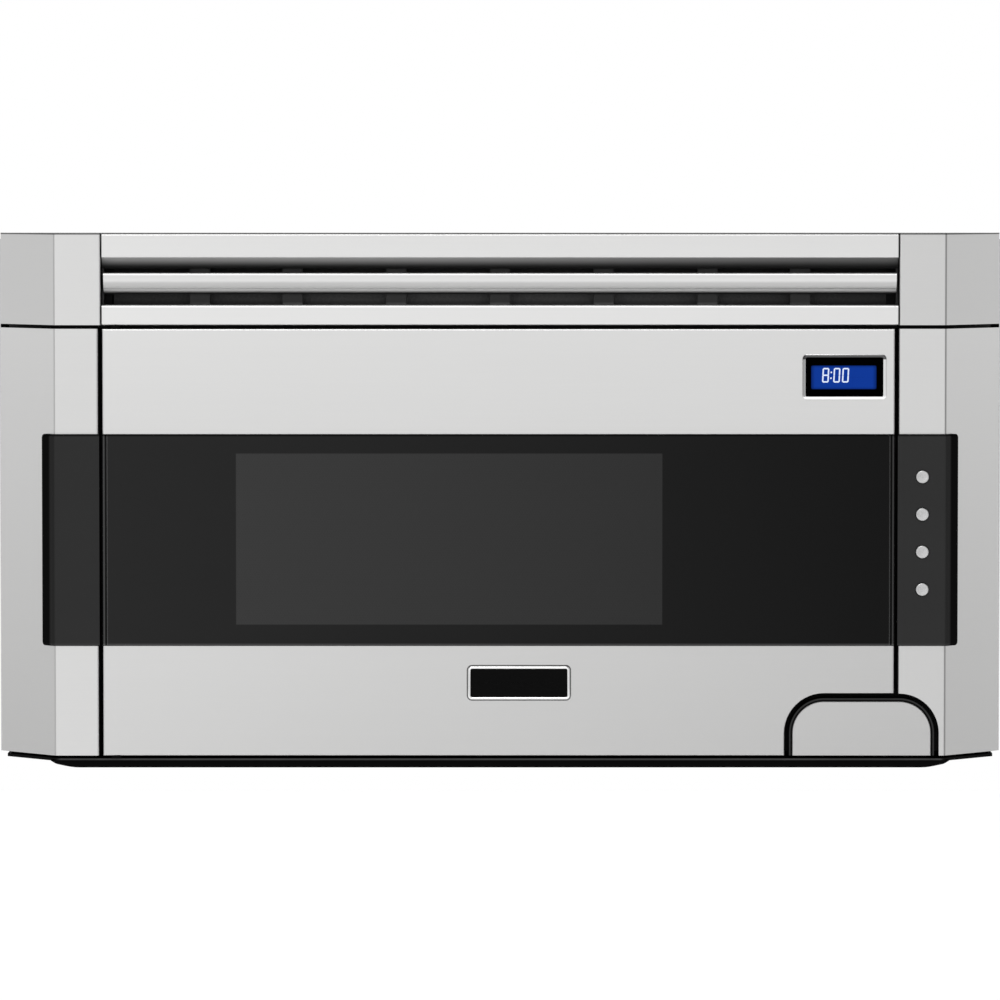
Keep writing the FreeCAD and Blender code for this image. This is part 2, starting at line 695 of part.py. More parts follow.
def dish():
    """Dish of the pan: one bent sheet whose ends rise in two stretches, with a wall in front and behind."""
    end = [(DISH_HALF, Z_RIM), (DISH_HALF - DISH_STEP_RUN, Z_RIM - DISH_STEP_FALL),
           (DISH_HALF - DISH_SLOPE, Z_DISH)]
    path = [(-x, z) for x, z in end] + end[::-1]
    sheet = folded(path, PAN_SHEET, (DISH_STEP_ROUND, DISH_ROUND, DISH_ROUND, DISH_STEP_ROUND))
    wall = sheet[:len(path)]
    front = Y_FACE + DISH_SETBACK
    return fused(prism_y(sheet, front, Y_BACK), prism_y(wall, front, front + PAN_SHEET),
                 prism_y(wall, Y_BACK - PAN_SHEET, Y_BACK))


def grease_block(side, rim, z0, z1):
    """Block of a grease filter's outline, shrunk by rim."""
    middle = side * GREASE_X
    front = Y_FACE + GREASE_FRONT
    return box(middle - GREASE_WIDTH / 2 + rim, middle + GREASE_WIDTH / 2 - rim,
               front + rim, front + GREASE_DEPTH - rim, z0, z1)


def lens_block(side, rim, z0, z1):
    """Block of a hood lamp lens, shrunk by rim."""
    middle = side * LAMP_X
    front = Y_FACE + LAMP_FRONT
    return box(middle - LENS_WIDTH / 2 + rim, middle + LENS_WIDTH / 2 - rim,
               front + rim, front + LENS_DEPTH - rim, z0, z1)


def grease_filters():
    """Two metal filters lying over the pan's openings."""
    return Part.makeCompound([grease_block(side, FIT, Z_DISH_FLOOR, Z_DISH_FLOOR + GREASE_THICK)
                              for side in (-1, 1)])


def lamp_lenses():
    """Two glass lenses under the hood lamps."""
    return Part.makeCompound([lens_block(side, FIT, Z_DISH_FLOOR, Z_DISH_FLOOR + LENS_THICK)
                              for side in (-1, 1)])


def bulb(x, y, z, way):
    """Lamp bulb in its socket, along X."""
    socket = rod(SOCKET_R, (x, y, z), (way, 0, 0), SOCKET_LENGTH)
    glass = rod(BULB_R, (x, y, z), (-way, 0, 0), BULB_LENGTH)
    tip = [edge for edge in glass.Edges if abs(edge.CenterOfMass.x - x + way * BULB_LENGTH) < 1e-6]
    return fused(socket, glass.makeFillet(BULB_ROUND, tip))


def lamps():
    """Two hood lamps over their lenses and the oven lamp beside the cavity."""
    lens_top = Z_DISH_FLOOR + LENS_THICK
    middle_y = Y_FACE + LAMP_FRONT + LENS_DEPTH / 2
    pieces = []
    for side in (-1, 1):
        x = side * (LAMP_X + LENS_WIDTH / 4)
        pieces.append(bulb(x, middle_y, lens_top + SOCKET_R + RUN_GAP, side))
    oven_x = CAVITY_LEFT - CAVITY_SHEET - SOCKET_LENGTH / 2
    holder = rod(SOCKET_R * 2, (oven_x, CAVITY_MID_Y, CAVITY_MID_Z), (1, 0, 0), SOCKET_LENGTH / 2)
    holder = fused(holder, rod(SOCKET_R, (oven_x, CAVITY_MID_Y, CAVITY_MID_Z), (-1, 0, 0), SOCKET_LENGTH))
    return Part.makeCompound(pieces + [holder])


def duct_cover():
    """Plate under the case top that closes the exhaust opening when the hood recirculates."""
    half_width = DUCT_WIDTH / 2 + DUCT_LAP
    half_depth = DUCT_DEPTH / 2 + DUCT_LAP
    return box(-half_width, half_width, -DUCT_BACK - half_depth, -DUCT_BACK + half_depth,
               Z_CEILING - DUCT_SHEET, Z_CEILING)


def cord_gland():
    """Bushing in the case top where a supply lead would leave."""
    base = (GLAND_X, -GLAND_BACK, Z_TOP)
    flange = rod(GLAND_R + GLAND_FLANGE, base, (0, 0, 1), GLAND_HEIGHT)
    tail = rod(GLAND_R, base, (0, 0, -1), CASE_SHEET + GLAND_TAIL)
    low = (GLAND_X, -GLAND_BACK, Z_CEILING - GLAND_TAIL)
    return fused(flange, tail).cut(rod(GLAND_BORE, low, (0, 0, 1), GLAND_TAIL + CASE_SHEET + GLAND_HEIGHT))


def fasteners():
    """Rear case screws and the two weld nuts for the cabinet bolts."""
    pieces = []
    for x, z in rear_screw_spots():
        head = rod(SCREW_HEAD_R, (x, Y_REAR, z), (0, 1, 0), SCREW_HEAD)
        shank = rod(SCREW_R, (x, Y_REAR, z), (0, -1, 0), 2 * CASE_SHEET + SCREW_BITE)
        pieces.append(fused(head, shank))
    for x in (-CABINET_BOLTS / 2, CABINET_BOLTS / 2):
        half = NUT_SIZE / 2
        nut = box(x - half, x + half, -CABINET_BOLT_BACK - half, -CABINET_BOLT_BACK + half,
                  Z_CEILING - NUT_THICK, Z_CEILING)
        pieces.append(nut.cut(rod(CABINET_BOLT_R, (x, -CABINET_BOLT_BACK, Z_CEILING - NUT_THICK),
                                  (0, 0, 1), NUT_THICK)))
    return Part.makeCompound(pieces)


# Front panels and vent section

def left_sheet(inner_x, z0, z1):
    """Folded sheet of a left column or cap between two heights."""
    return prism_z(folded(left_panel_path(inner_x), SKIN, (BEND, BEND, EDGE_BEND)), z0, z1)


def left_front_panel():
    """Left steel column with its flank."""
    return left_sheet(COLUMN_IN, 0, DOOR_TOP)


def right_front_panel():
    """Right steel column, cut for the push pad and the buttons."""
    panel = mirrored(left_sheet(CONTROL_IN, 0, DOOR_TOP))
    panel = panel.cut(prism_y(arch(0, 0), Y_FACE, Y_PLATE))
    for z in button_spots():
        panel = panel.cut(rod(BUTTON_R + BUTTON_CLEAR, (BUTTON_X, Y_FACE, z), (0, 1, 0), SKIN))
    return panel


def top_caps():
    """Closed steel caps at both ends of the vent section."""
    wall = left_sheet(CAP_IN, Z_UPPER, FRONT_HEIGHT)
    flank_x = -min(FLAT_HALF + Y_PLATE - Y_FACE, PANEL_HALF)
    lid = prism_z([(-CAP_IN, Y_PLATE, 0), (flank_x, Y_PLATE, 0), (-FLAT_HALF, Y_FACE, BEND + SKIN),
                   (-CAP_IN, Y_FACE, EDGE_BEND + SKIN)], FRONT_HEIGHT - SKIN, FRONT_HEIGHT)
    lap_top = box(-HALF, -CAP_IN, Y_CASE, Y_CASE + LAP, Z_CEILING, FRONT_HEIGHT)
    cap = fused(wall.cut(lap_top), lid)
    return Part.makeCompound([cap, mirrored(cap)])


def vent_grille():
    """Upper and lower steel bands on end plates and ribs, open between them."""
    sharp = SKIN / 2
    top = folded([(Y_PLATE, FRONT_HEIGHT), (Y_FACE, FRONT_HEIGHT), (Y_FACE, Z_SLOT_UPPER),
                  (Y_FACE + LIP_RUN, Z_SLOT_UPPER - LIP_FALL)], SKIN, (sharp, sharp))
    rib_back = Y_FACE + RIB_SETBACK + RIB_DEPTH
    low = folded([(rib_back, Z_LOWER_BAND), (Y_FACE, Z_LOWER_BAND), (Y_FACE, Z_UPPER), (rib_back, Z_UPPER)],
                 SKIN, (sharp, sharp))
    pieces = [prism_x(low, -GRILLE_HALF, GRILLE_HALF)]
    end = box(-GRILLE_HALF, SKIN - GRILLE_HALF, Y_FACE + LIP_RUN, rib_back, Z_UPPER, FRONT_HEIGHT - SKIN)
    pieces += [end, mirrored(end)]
    for x in rib_spots():
        pieces.append(box(x - RIB_WIDTH / 2, x + RIB_WIDTH / 2, Y_FACE + RIB_SETBACK, rib_back,
                          Z_UPPER, FRONT_HEIGHT - SKIN))
    return fused(prism_x(top, -GRILLE_HALF, GRILLE_HALF), *pieces)


def rib_spots():
    """Ribs behind the louvre: five on an even pitch and one near each end."""
    inner = [i * RIB_PITCH for i in (-2, -1, 0, 1, 2)]
    end = GRILLE_HALF - RIB_FROM_END
    return [-end] + inner + [end]


def grille_louvre():
    """Bullnosed blade across the middle of the vent."""
    back = Y_FACE + RIB_SETBACK
    half = GRILLE_HALF - SKIN - FIT
    section = folded([(back, Z_BLADE), (Y_FACE, Z_BLADE), (Y_FACE, Z_SLOT_LOWER), (back, Z_SLOT_LOWER)],
                     SKIN, (SKIN / 2, BLADE_ROUND))
    return prism_x(section, -half, half)


def charcoal_filter():
    """Odour filter between the grille's ribs and the front frame."""
    front = Y_FACE + RIB_SETBACK + RIB_DEPTH
    half = GRILLE_HALF - FILTER_SIDE
    return box(-half, half, front, front + FILTER_THICK, Z_UPPER + SKIN + FILTER_EDGE,
               FRONT_HEIGHT - SKIN - FILTER_EDGE)


def left_glass_band():
    """Black glass on the left column."""
    return wrapped_glass(COLUMN_IN)


def wrapped_glass(inner_x):
    """Glass of a left column that is wrapped onto its flank."""
    start = BAND_OVERHANG - inner_x
    path = [(start, Y_FACE), (-FLAT_HALF, Y_FACE), (-FLAT_HALF - BAND_WRAP, Y_FACE + BAND_WRAP)]
    band = prism_z(folded(path, BAND_THICK, (BEND + SKIN,)), BAND_LOW, BAND_TOP)
    end = -FLAT_HALF - BAND_WRAP / 2

    def end_corner(edge):
        across = runs_along(edge, (1, 1, 0))
        return across and edge.CenterOfMass.x < end

    return softened(band, BAND_CORNER, end_corner)


def control_glass():
    """Black glass on the right column, with holes for the buttons."""
    band = mirrored(wrapped_glass(CONTROL_IN))
    for z in button_spots():
        hole = rod(BUTTON_R + BUTTON_CLEAR, (BUTTON_X, Y_FACE - BAND_THICK, z), (0, 1, 0), BAND_THICK)
        band = band.cut(hole)
    return band


# Door

def door_skin():
    """Steel tray of the door, with the pad's notch and openings for window and display."""
    skin = prism_y(door_outline(0), Y_FACE, DOOR_FRAME_BACK)
    skin = softened(skin, SKIN, lambda edge: abs(edge.BoundBox.YMax - Y_FACE) < 1e-6)
    skin = skin.cut(prism_y(door_outline(SKIN), Y_FACE + SKIN, DOOR_FRAME_BACK))
    x0, x1, z0, z1 = window(WINDOW_EDGE)
    skin = skin.cut(box(x0, x1, Y_FACE, Y_FACE + SKIN, z0, z1))
    skin = skin.cut(display_block(DISPLAY_FRAME - FIT, Y_FACE, Y_FACE + SKIN))
    skin = skin.cut(rod(PIN_R + FIT, (HINGE_X, HINGE_Y, 0), (0, 0, 1), SKIN))
    return skin.cut(rod(PIN_R + FIT, (HINGE_X, HINGE_Y, DOOR_TOP - SKIN), (0, 0, 1), SKIN))


def door_glass():
    """Black glass band across the door, grooved near both ends and bevelled along its edges."""
    left = DOOR_LEFT + GLASS_EDGE
    right = DOOR_RIGHT - GLASS_EDGE
    front = Y_FACE - BAND_THICK
    groove = END_STRIP + END_GROOVE
    side = [(0, Y_FACE), (0, front), (END_STRIP, front), (END_STRIP, front + GROOVE_DEPTH),
            (groove, front + GROOVE_DEPTH), (groove, front + GLASS_BEVEL), (groove + GLASS_BEVEL, front)]
    right_side = [(right - run, y, 0) for run, y in side]
    left_side = [(left + run, y, 0) for run, y in reversed(side)]
    glass = prism_z(right_side + left_side, BAND_LOW, BAND_TOP)
    for z, inward in ((BAND_LOW, 1), (BAND_TOP, -1)):
        bevel = [(front, z, 0), (front + GLASS_BEVEL, z, 0), (front, z + inward * GLASS_BEVEL, 0)]
        glass = glass.cut(prism_x(bevel, left, right))
    return glass


def door_frame():
    """Inner frame of the door: a plate behind the skin with the choke walls round the window."""
    plate = prism_y(door_outline(SKIN + FIT), DOOR_FRAME_FRONT, DOOR_FRAME_BACK)
    x0, x1, z0, z1 = window(0)
    choke = [CAVITY_LEFT - CHOKE_EDGE / 2, CAVITY_RIGHT + CHOKE_EDGE / 2,
             CAVITY_FLOOR - CHOKE_EDGE / 2, CAVITY_TOP + CHOKE_EDGE / 2]
    wall_front = DOOR_FRAME_FRONT - CHOKE_WALL
    wall = box(choke[0], choke[1], wall_front, DOOR_FRAME_FRONT, choke[2], choke[3])
    wall = wall.cut(box(choke[0] + SKIN, choke[1] - SKIN, wall_front, DOOR_FRAME_FRONT,
                        choke[2] + SKIN, choke[3] - SKIN))
    frame = fused(plate, wall)
    frame = frame.cut(box(x0, x1, DOOR_FRAME_FRONT, DOOR_FRAME_BACK, z0, z1))
    for z in HOOK_SPOTS:
        frame = frame.cut(hook_slot(DOOR_FRAME_FRONT, DOOR_FRAME_BACK, z))
    return frame


def door_screen():
    """Thin perforated sheet over the window opening of the door frame."""
    x0, x1, z0, z1 = window(WINDOW_EDGE)
    return box(x0, x1, DOOR_FRAME_FRONT - SCREEN_SHEET, DOOR_FRAME_FRONT, z0, z1)


def choke_cover():
    """Plastic ring on the back of the door that covers the choke."""
    back = DOOR_FRAME_BACK + CHOKE_COVER
    ring = prism_y(rectangle(CAVITY_LEFT - CHOKE_EDGE, CAVITY_RIGHT + CHOKE_EDGE, CAVITY_FLOOR - CHOKE_EDGE,
                             CAVITY_TOP + CHOKE_EDGE, CHOKE_EDGE / 3), DOOR_FRAME_BACK, back)
    x0, x1, z0, z1 = window(0)
    return ring.cut(box(x0, x1, DOOR_FRAME_BACK, back, z0, z1))


def door_hinge_bushes():
    """Plastic blocks in the door's corners that turn on the hinge pins."""
    front = Y_FACE + SKIN
    back = HINGE_Y + PIN_R + SKIN * 2
    left = DOOR_LEFT + SKIN
    right = HINGE_X + PIN_R + SKIN * 4
    pieces = []
    for z0 in (SKIN, DOOR_TOP - SKIN - BUSH_HEIGHT):
        block = box(left, right, front, back, z0, z0 + BUSH_HEIGHT)
        pieces.append(block.cut(rod(PIN_R + PIN_CLEAR, (HINGE_X, HINGE_Y, z0), (0, 0, 1), BUSH_HEIGHT)))
    return Part.makeCompound(pieces)


def hinge(arm_low, pin_way, leg_low, leg_high):
    """Flat arm with a pin at its front end and a leg on the front frame."""
    half = HINGE_WIDTH / 2
    arm = box(HINGE_X - half, HINGE_X + half, HINGE_Y, Y_PLATE, arm_low, arm_low + HINGE_ARM)
    nose = rod(half, (HINGE_X, HINGE_Y, arm_low), (0, 0, 1), HINGE_ARM)
    start = arm_low + HINGE_ARM / 2
    pin = rod(PIN_R, (HINGE_X, HINGE_Y, start), (0, 0, pin_way), PIN_LENGTH + HINGE_ARM / 2)
    leg = box(HINGE_X - half, HINGE_X + half, leg_low[0], leg_low[1], leg_low[2], leg_high)
    return fused(arm, nose, pin, leg)


def door_hinges():
    """Upper hinge in the seam over the door and lower hinge in the gap under it."""
    upper_arm = DOOR_TOP + (SEAM - HINGE_ARM) / 2
    upper = hinge(upper_arm, -1, (Y_PLATE - HINGE_ARM, Y_PLATE, upper_arm), upper_arm + HINGE_LEG)
    lower_arm = -(PAN_GAP + HINGE_ARM) / 2
    lower = hinge(lower_arm, 1, (Y_PLATE, CURB_FRONT - FIT, lower_arm), 0)
    return Part.makeCompound([upper, lower])


def display_block(inset, y0, y1):
    """Block of the display's outline, shrunk by inset."""
    half_width = DISPLAY_WIDTH / 2 - inset
    half_height = DISPLAY_HEIGHT / 2 - inset
    corner = max(DISPLAY_CORNER - inset, SKIN / 2)
    return prism_y(rectangle(DISPLAY_X - half_width, DISPLAY_X + half_width, DISPLAY_Z - half_height,
                             DISPLAY_Z + half_height, corner), y0, y1)


def display_bezel():
    """Bright frame round the display."""
    frame = display_block(0, Y_FACE - DISPLAY_PROUD, Y_FACE)
    front = [edge for edge in frame.Edges if abs(edge.CenterOfMass.y - Y_FACE + DISPLAY_PROUD) < 1e-6]
    frame = frame.makeChamfer(DISPLAY_PROUD / 2, front)
    return frame.cut(display_block(DISPLAY_FRAME, Y_FACE - DISPLAY_PROUD, Y_FACE))


def display_lens():
    """Dark display module that fills the bezel from behind."""
    return display_block(DISPLAY_FRAME + FIT, Y_FACE - DISPLAY_PROUD / 4, Y_FACE + DISPLAY_BODY)


def nameplate():
    """Bare plate with a raised rim on the lower part of the door."""
    def block(inset, y0, y1):
        half_width = NAME_WIDTH / 2 - inset
        half_height = NAME_HEIGHT / 2 - inset
        corners = rectangle(NAME_X - half_width, NAME_X + half_width, NAME_Z - half_height,
                            NAME_Z + half_height, NAME_CORNER - inset / 2)
        return prism_y(corners, y0, y1)

    plate = block(0, Y_FACE - NAME_PROUD, Y_FACE)
    return plate.cut(block(NAME_FRAME, Y_FACE - NAME_PROUD, Y_FACE - NAME_PROUD / 2))


# Door opener and latch

def open_pad():
    """Black pad body in the arch, with guide stems and a pusher for the lever."""
    body = prism_y(arch(PAD_GAP, 0), PAD_FRONT, PAD_BACK)
    plate_room = arch(PAD_GAP + PAD_RIM - FIT / 2, 0)
    body = body.cut(prism_y(plate_room, PAD_FRONT, Y_FACE + SKIN))
    half = PAD_STEM / 2
    pieces = [box(x - half, x + half, PAD_BACK, PAD_BACK + PAD_STEM_LENGTH, PUSH_Z - half, PUSH_Z + half)
              for x in STEM_SPOTS]
    push_end = PIVOT_Y - LEVER_ARM / 2 - RUN_GAP
    pieces.append(box(PAD_X - half, PAD_X + half, PAD_BACK, push_end, PUSH_Z - half, PUSH_Z))
    return fused(body, *pieces)


def pad_plate():
    """Steel face of the push pad, level with the door."""
    plate = prism_y(arch(PAD_GAP + PAD_RIM, 0), Y_FACE, Y_FACE + SKIN)
    front = [edge for edge in plate.Edges if abs(edge.BoundBox.YMax - Y_FACE) < 1e-6]
    return plate.makeChamfer(PAD_BEVEL, front)


def pad_housing():
    """Guide block on the front frame in which the pad slides."""
    reach = PAD_STEM_SPREAD + PAD_STEM
    half = PAD_STEM / 2 + SLIDE_CLEAR
    block = box(PAD_X - reach, PAD_X + reach, PAD_BACK + PAD_TRAVEL + RUN_GAP, Y_PLATE,
                PUSH_Z - PAD_STEM * 2, PUSH_Z + PAD_STEM * 2)
    for x in STEM_SPOTS + (PAD_X,):
        block = block.cut(box(x - half, x + half, PAD_BACK, Y_PLATE, PUSH_Z - half, PUSH_Z + half))
    return block


def open_lever():
    """Bell crank: the pad pushes its lower arm back and its tip lifts the lower hook."""
    half = LEVER_ARM / 2
    x0 = PAD_X - LEVER_WIDTH / 2
    x1 = PAD_X + LEVER_WIDTH / 2
    down = box(x0, x1, PIVOT_Y - half, PIVOT_Y + half, PUSH_Z - half, PIVOT_Z)
    tip_y = PIVOT_Y + LEVER_TIP
    tip_z = HOOK_LOW_Z - HOOK_HEIGHT / 2 - RUN_GAP
    up = prism_x([(PIVOT_Y - half, PIVOT_Z, 0), (PIVOT_Y + half, PIVOT_Z - half, 0),
                  (tip_y + half, PIVOT_Z + half, 0), (tip_y + half, tip_z, 0), (tip_y, tip_z, 0),
                  (tip_y, PIVOT_Z + LEVER_ARM, 0)], x0, x1)
    pivot = (x0, PIVOT_Y, PIVOT_Z)
    boss = rod(LEVER_BOSS_R, pivot, (1, 0, 0), LEVER_WIDTH)
    return fused(down, up, boss).cut(rod(PIVOT_R + PIN_CLEAR, pivot, (1, 0, 0), LEVER_WIDTH))


def latch_catch():
    """Catch behind the front frame: plate, cheeks, keepers, lever pin and the door switches."""
    left = PAD_X - CHEEK_SPREAD - CHEEK
    right = PAD_X + CHEEK_SPREAD + CHEEK
    back = Y_FRAME + CATCH_DEPTH
    low = PUSH_Z - PAD_STEM * 2
    barb_low = HOOK_HEIGHT / 2 + BARB_DROP + 2 * RUN_GAP
    plate = box(left, right, Y_FRAME, Y_FRAME + CATCH_PLATE, low, HOOK_HIGH_Z + HOOK_REACH / 2)
    pieces = []
    for x in (left, right - CHEEK):
        pieces.append(box(x, x + CHEEK, Y_FRAME, back, PIVOT_Z - LEVER_ARM, HOOK_LOW_Z + HOOK_HEIGHT * 2))
    for z in HOOK_SPOTS:
        top = z - barb_low
        pieces.append(box(left, right, Y_FRAME, Y_FRAME + BARB_START / 2, top - HOOK_HEIGHT / 2, top))
    pieces.append(rod(PIVOT_R, (left, PIVOT_Y, PIVOT_Z), (1, 0, 0), right - left))
    catch = fused(plate, *pieces)
    for z in HOOK_SPOTS:
        catch = catch.cut(hook_slot(Y_FRAME, Y_FRAME + CATCH_PLATE, z).cut(
            box(left, right, Y_FRAME, back, z - barb_low - HOOK_HEIGHT, z - barb_low)))
    room = PAD_STEM / 2 + SLIDE_CLEAR
    catch = catch.cut(box(PAD_X - room, PAD_X + room, Y_FRAME, Y_FRAME + CATCH_PLATE,
                          PUSH_Z - room, PUSH_Z + room))
    solids = [catch]
    for i in range(SWITCH_COUNT):
        z = HOOK_LOW_Z + (i + 2) * SWITCH_HEIGHT * 2
        solids.append(box(left, left + SWITCH_WIDTH, Y_FRAME + CATCH_PLATE,
                          Y_FRAME + CATCH_PLATE + SWITCH_LENGTH, z, z + SWITCH_HEIGHT))
    return Part.makeCompound(solids)


def latch_bar():
    """Sliding bar inside the door with two hooks that reach through the front frame."""
    half = LATCH_BAR / 2
    back = DOOR_FRAME_FRONT - RUN_GAP
    bar = box(PAD_X - half, PAD_X + half, back - LATCH_BAR, back,
              HOOK_LOW_Z - LATCH_BAR, HOOK_HIGH_Z + LATCH_BAR)
    pieces = []
    thin = HOOK_THICK / 2
    for z in HOOK_SPOTS:
        z0 = z - HOOK_HEIGHT / 2
        z1 = z0 + HOOK_HEIGHT
        pieces.append(box(PAD_X - thin, PAD_X + thin, back - half, Y_FRAME + HOOK_REACH, z0, z1))
        barb = Y_FRAME + BARB_START
        pieces.append(box(PAD_X - thin, PAD_X + thin, barb, barb + BARB_LENGTH, z0 - BARB_DROP, z1))
    return fused(bar, *pieces)


# Controls

def push_button(z):
    """Round button with a flange behind the panel and a stem in the carrier."""
    front = Y_FACE - BAND_THICK - BUTTON_PROUD
    flange_y = Y_FACE + SKIN + RUN_GAP
    cap = rod(BUTTON_R, (BUTTON_X, front, z), (0, 1, 0), flange_y - front)
    rim = [edge for edge in cap.Edges if abs(edge.CenterOfMass.y - front) < 1e-6]
    cap = cap.makeFillet(BUTTON_PROUD / 2, rim)
    flange = rod(BUTTON_R + BUTTON_FLANGE, (BUTTON_X, flange_y, z), (0, 1, 0), SKIN)
    stem = rod(STEM_R, (BUTTON_X, flange_y, z), (0, 1, 0), STEM_LENGTH)
    return fused(cap, flange, stem)


def button_carrier():
    """Plastic frame behind the right panel that guides the buttons and holds the board."""
    front = Y_FACE + SKIN
    back = front + BOARD_BACK
    spots = button_spots()
    half = CARRIER_WIDTH / 2
    low = spots[-1] - BUTTON_PITCH / 2
    high = spots[0] + BUTTON_PITCH / 2
    web = front + RUN_GAP + SKIN + BUTTON_TRAVEL + RUN_GAP
    block = box(BUTTON_X - half, BUTTON_X + half, front, back, low, high)
    wall = half - SKIN * 2
    for z in spots:
        reach = BUTTON_PITCH / 2 - SKIN
        block = block.cut(box(BUTTON_X - wall, BUTTON_X + wall, front, web, z - reach, z + reach))
        block = block.cut(box(BUTTON_X - wall, BUTTON_X + wall, web + SKIN * 2, back, z - reach, z + reach))
        block = block.cut(rod(STEM_R + SLIDE_CLEAR, (BUTTON_X, front, z), (0, 1, 0), BOARD_BACK))
    return block


def control_board():
    """Circuit board on the back of the button carrier, with a switch behind each button."""
    front = Y_FACE + SKIN + BOARD_BACK
    spots = button_spots()
    half = CARRIER_WIDTH / 2
    board = box(BUTTON_X - half, BUTTON_X + half, front, front + BOARD_THICK,
                spots[-1] - BUTTON_PITCH / 2, spots[0] + BUTTON_PITCH / 2)
    stem_end = Y_FACE + SKIN + RUN_GAP + STEM_LENGTH
    switch = stem_end + BUTTON_TRAVEL + RUN_GAP
    return fused(board, *[rod(STEM_R, (BUTTON_X, switch, z), (0, 1, 0), front - switch) for z in spots])


# Turntable

def turntable_motor():
    """Flat geared motor under the oven floor."""
    top = CAVITY_FLOOR - CAVITY_SHEET
    body = rod(TABLE_MOTOR_R, (CAVITY_X, CAVITY_MID_Y, top), (0, 0, -1), TABLE_MOTOR_HEIGHT)
    bore = rod(SHAFT_R + PIN_CLEAR, (CAVITY_X, CAVITY_MID_Y, top), (0, 0, -1), TABLE_MOTOR_HEIGHT / 2)
    return body.cut(bore)


def turntable_coupler():
    """Motor shaft with the three-lobed head that turns the tray."""
    base = CAVITY_FLOOR - CAVITY_SHEET - TABLE_MOTOR_HEIGHT / 2 + RUN_GAP
    head = CAVITY_FLOOR + RUN_GAP
    shaft = rod(SHAFT_R, (CAVITY_X, CAVITY_MID_Y, base), (0, 0, 1), TRAY_Z - RUN_GAP - base)
    disc = rod(COUPLER_R - RUN_GAP * 2, (CAVITY_X, CAVITY_MID_Y, head), (0, 0, 1), RING_HEIGHT)
    lobes = []
    for i in range(ROLLER_COUNT):
        angle = math.radians(LOBE_TURN + i * 360 / ROLLER_COUNT)
        x = CAVITY_X + COUPLER_R * math.cos(angle)
        y = CAVITY_MID_Y + COUPLER_R * math.sin(angle)
        lobes.append(rod(SHAFT_R, (x, y, head), (0, 0, 1), TRAY_Z - RUN_GAP - head))
    return fused(shaft, disc, *lobes)


def roller_angles():
    """Directions of the three rollers round the ring, in degrees."""
    return [ROLLER_TURN + i * 360 / ROLLER_COUNT for i in range(ROLLER_COUNT)]


def outward(radius, angle):
    """Point and direction at a radius from the turntable's axis, at roller height."""
    way = (math.cos(math.radians(angle)), math.sin(math.radians(angle)), 0)
    return (CAVITY_X + radius * way[0], CAVITY_MID_Y + radius * way[1], TABLE_Z), way


def roller_ring():
    """Ring under the tray with three axles."""
    low = TABLE_Z - RING_HEIGHT / 2
    ring = tube(RING_R, RING_R - RING_WALL, (CAVITY_X, CAVITY_MID_Y, low), (0, 0, 1), RING_HEIGHT)
    axles = []
    for angle in roller_angles():
        point, way = outward(RING_R - RING_WALL / 2, angle)
        axles.append(rod(AXLE_R, point, way, RING_WALL / 2 + ROLLER_WIDTH + 3 * RUN_GAP))
    return fused(ring, *axles)


def roller(angle):
    """Wheel on one axle of the ring."""
    point, way = outward(RING_R + 2 * RUN_GAP, angle)
    return tube(ROLLER_R, AXLE_R + AXLE_CLEAR, point, way, ROLLER_WIDTH)


def glass_tray():
    """Round glass tray with a raised rim."""
    centre = (CAVITY_X, CAVITY_MID_Y, TRAY_Z)
    dish = rod(TRAY_R, centre, (0, 0, 1), TRAY_THICK + TRAY_RIM)
    inside = Part.makeCone(TRAY_R - TRAY_RIM * 2, TRAY_R - TRAY_THICK, TRAY_RIM,
                           V(CAVITY_X, CAVITY_MID_Y, TRAY_Z + TRAY_THICK))
    underside = Part.makeCone(TRAY_R - TRAY_RIM, TRAY_R, TRAY_RIM, V(*centre))
    below_rim = rod(TRAY_R, centre, (0, 0, 1), TRAY_RIM).cut(underside)
    return dish.cut(inside).cut(below_rim)


# Microwave parts

def waveguide():
    """Sheet metal channel on the cavity wall, open towards it."""
    s = GUIDE_SHEET
    y1 = -GUIDE_BACK
    y0 = y1 - GUIDE_LENGTH
    z0 = GUIDE_Z - GUIDE_HEIGHT / 2
    z1 = GUIDE_Z + GUIDE_HEIGHT / 2
    guide = box(BAY_WALL, GUIDE_RIGHT, y0, y1, z0, z1)
    guide = guide.cut(box(BAY_WALL, GUIDE_RIGHT - s, y0 + s, y1 - s, z0 + s, z1 - s))
    return guide.cut(rod(ANTENNA_R + ANTENNA_ROOM, (GUIDE_RIGHT - s, TUBE_Y, GUIDE_Z), (1, 0, 0), s))


def waveguide_cover():
    """Mica sheet inside the oven over the waveguide's port."""
    return port(CAVITY_RIGHT - MICA, CAVITY_RIGHT, WINDOW_EDGE)


def magnetron():
    """Magnetron: round core with square cooling fins between two yoke plates, and an antenna."""
    half = TUBE_SIZE / 2
    core = rod(TUBE_CORE_R, (GUIDE_RIGHT, TUBE_Y, GUIDE_Z), (1, 0, 0), TUBE_LENGTH)
    antenna = rod(ANTENNA_R, (GUIDE_RIGHT, TUBE_Y, GUIDE_Z), (-1, 0, 0), ANTENNA_LENGTH)
    pitch = (TUBE_LENGTH - TUBE_FIN) / (TUBE_FINS - 1)
    fins = []
    for i in range(TUBE_FINS):
        x = GUIDE_RIGHT + i * pitch
        fins.append(box(x, x + TUBE_FIN, TUBE_Y - half, TUBE_Y + half, GUIDE_Z - half, GUIDE_Z + half))
    return fused(core, antenna, *fins)


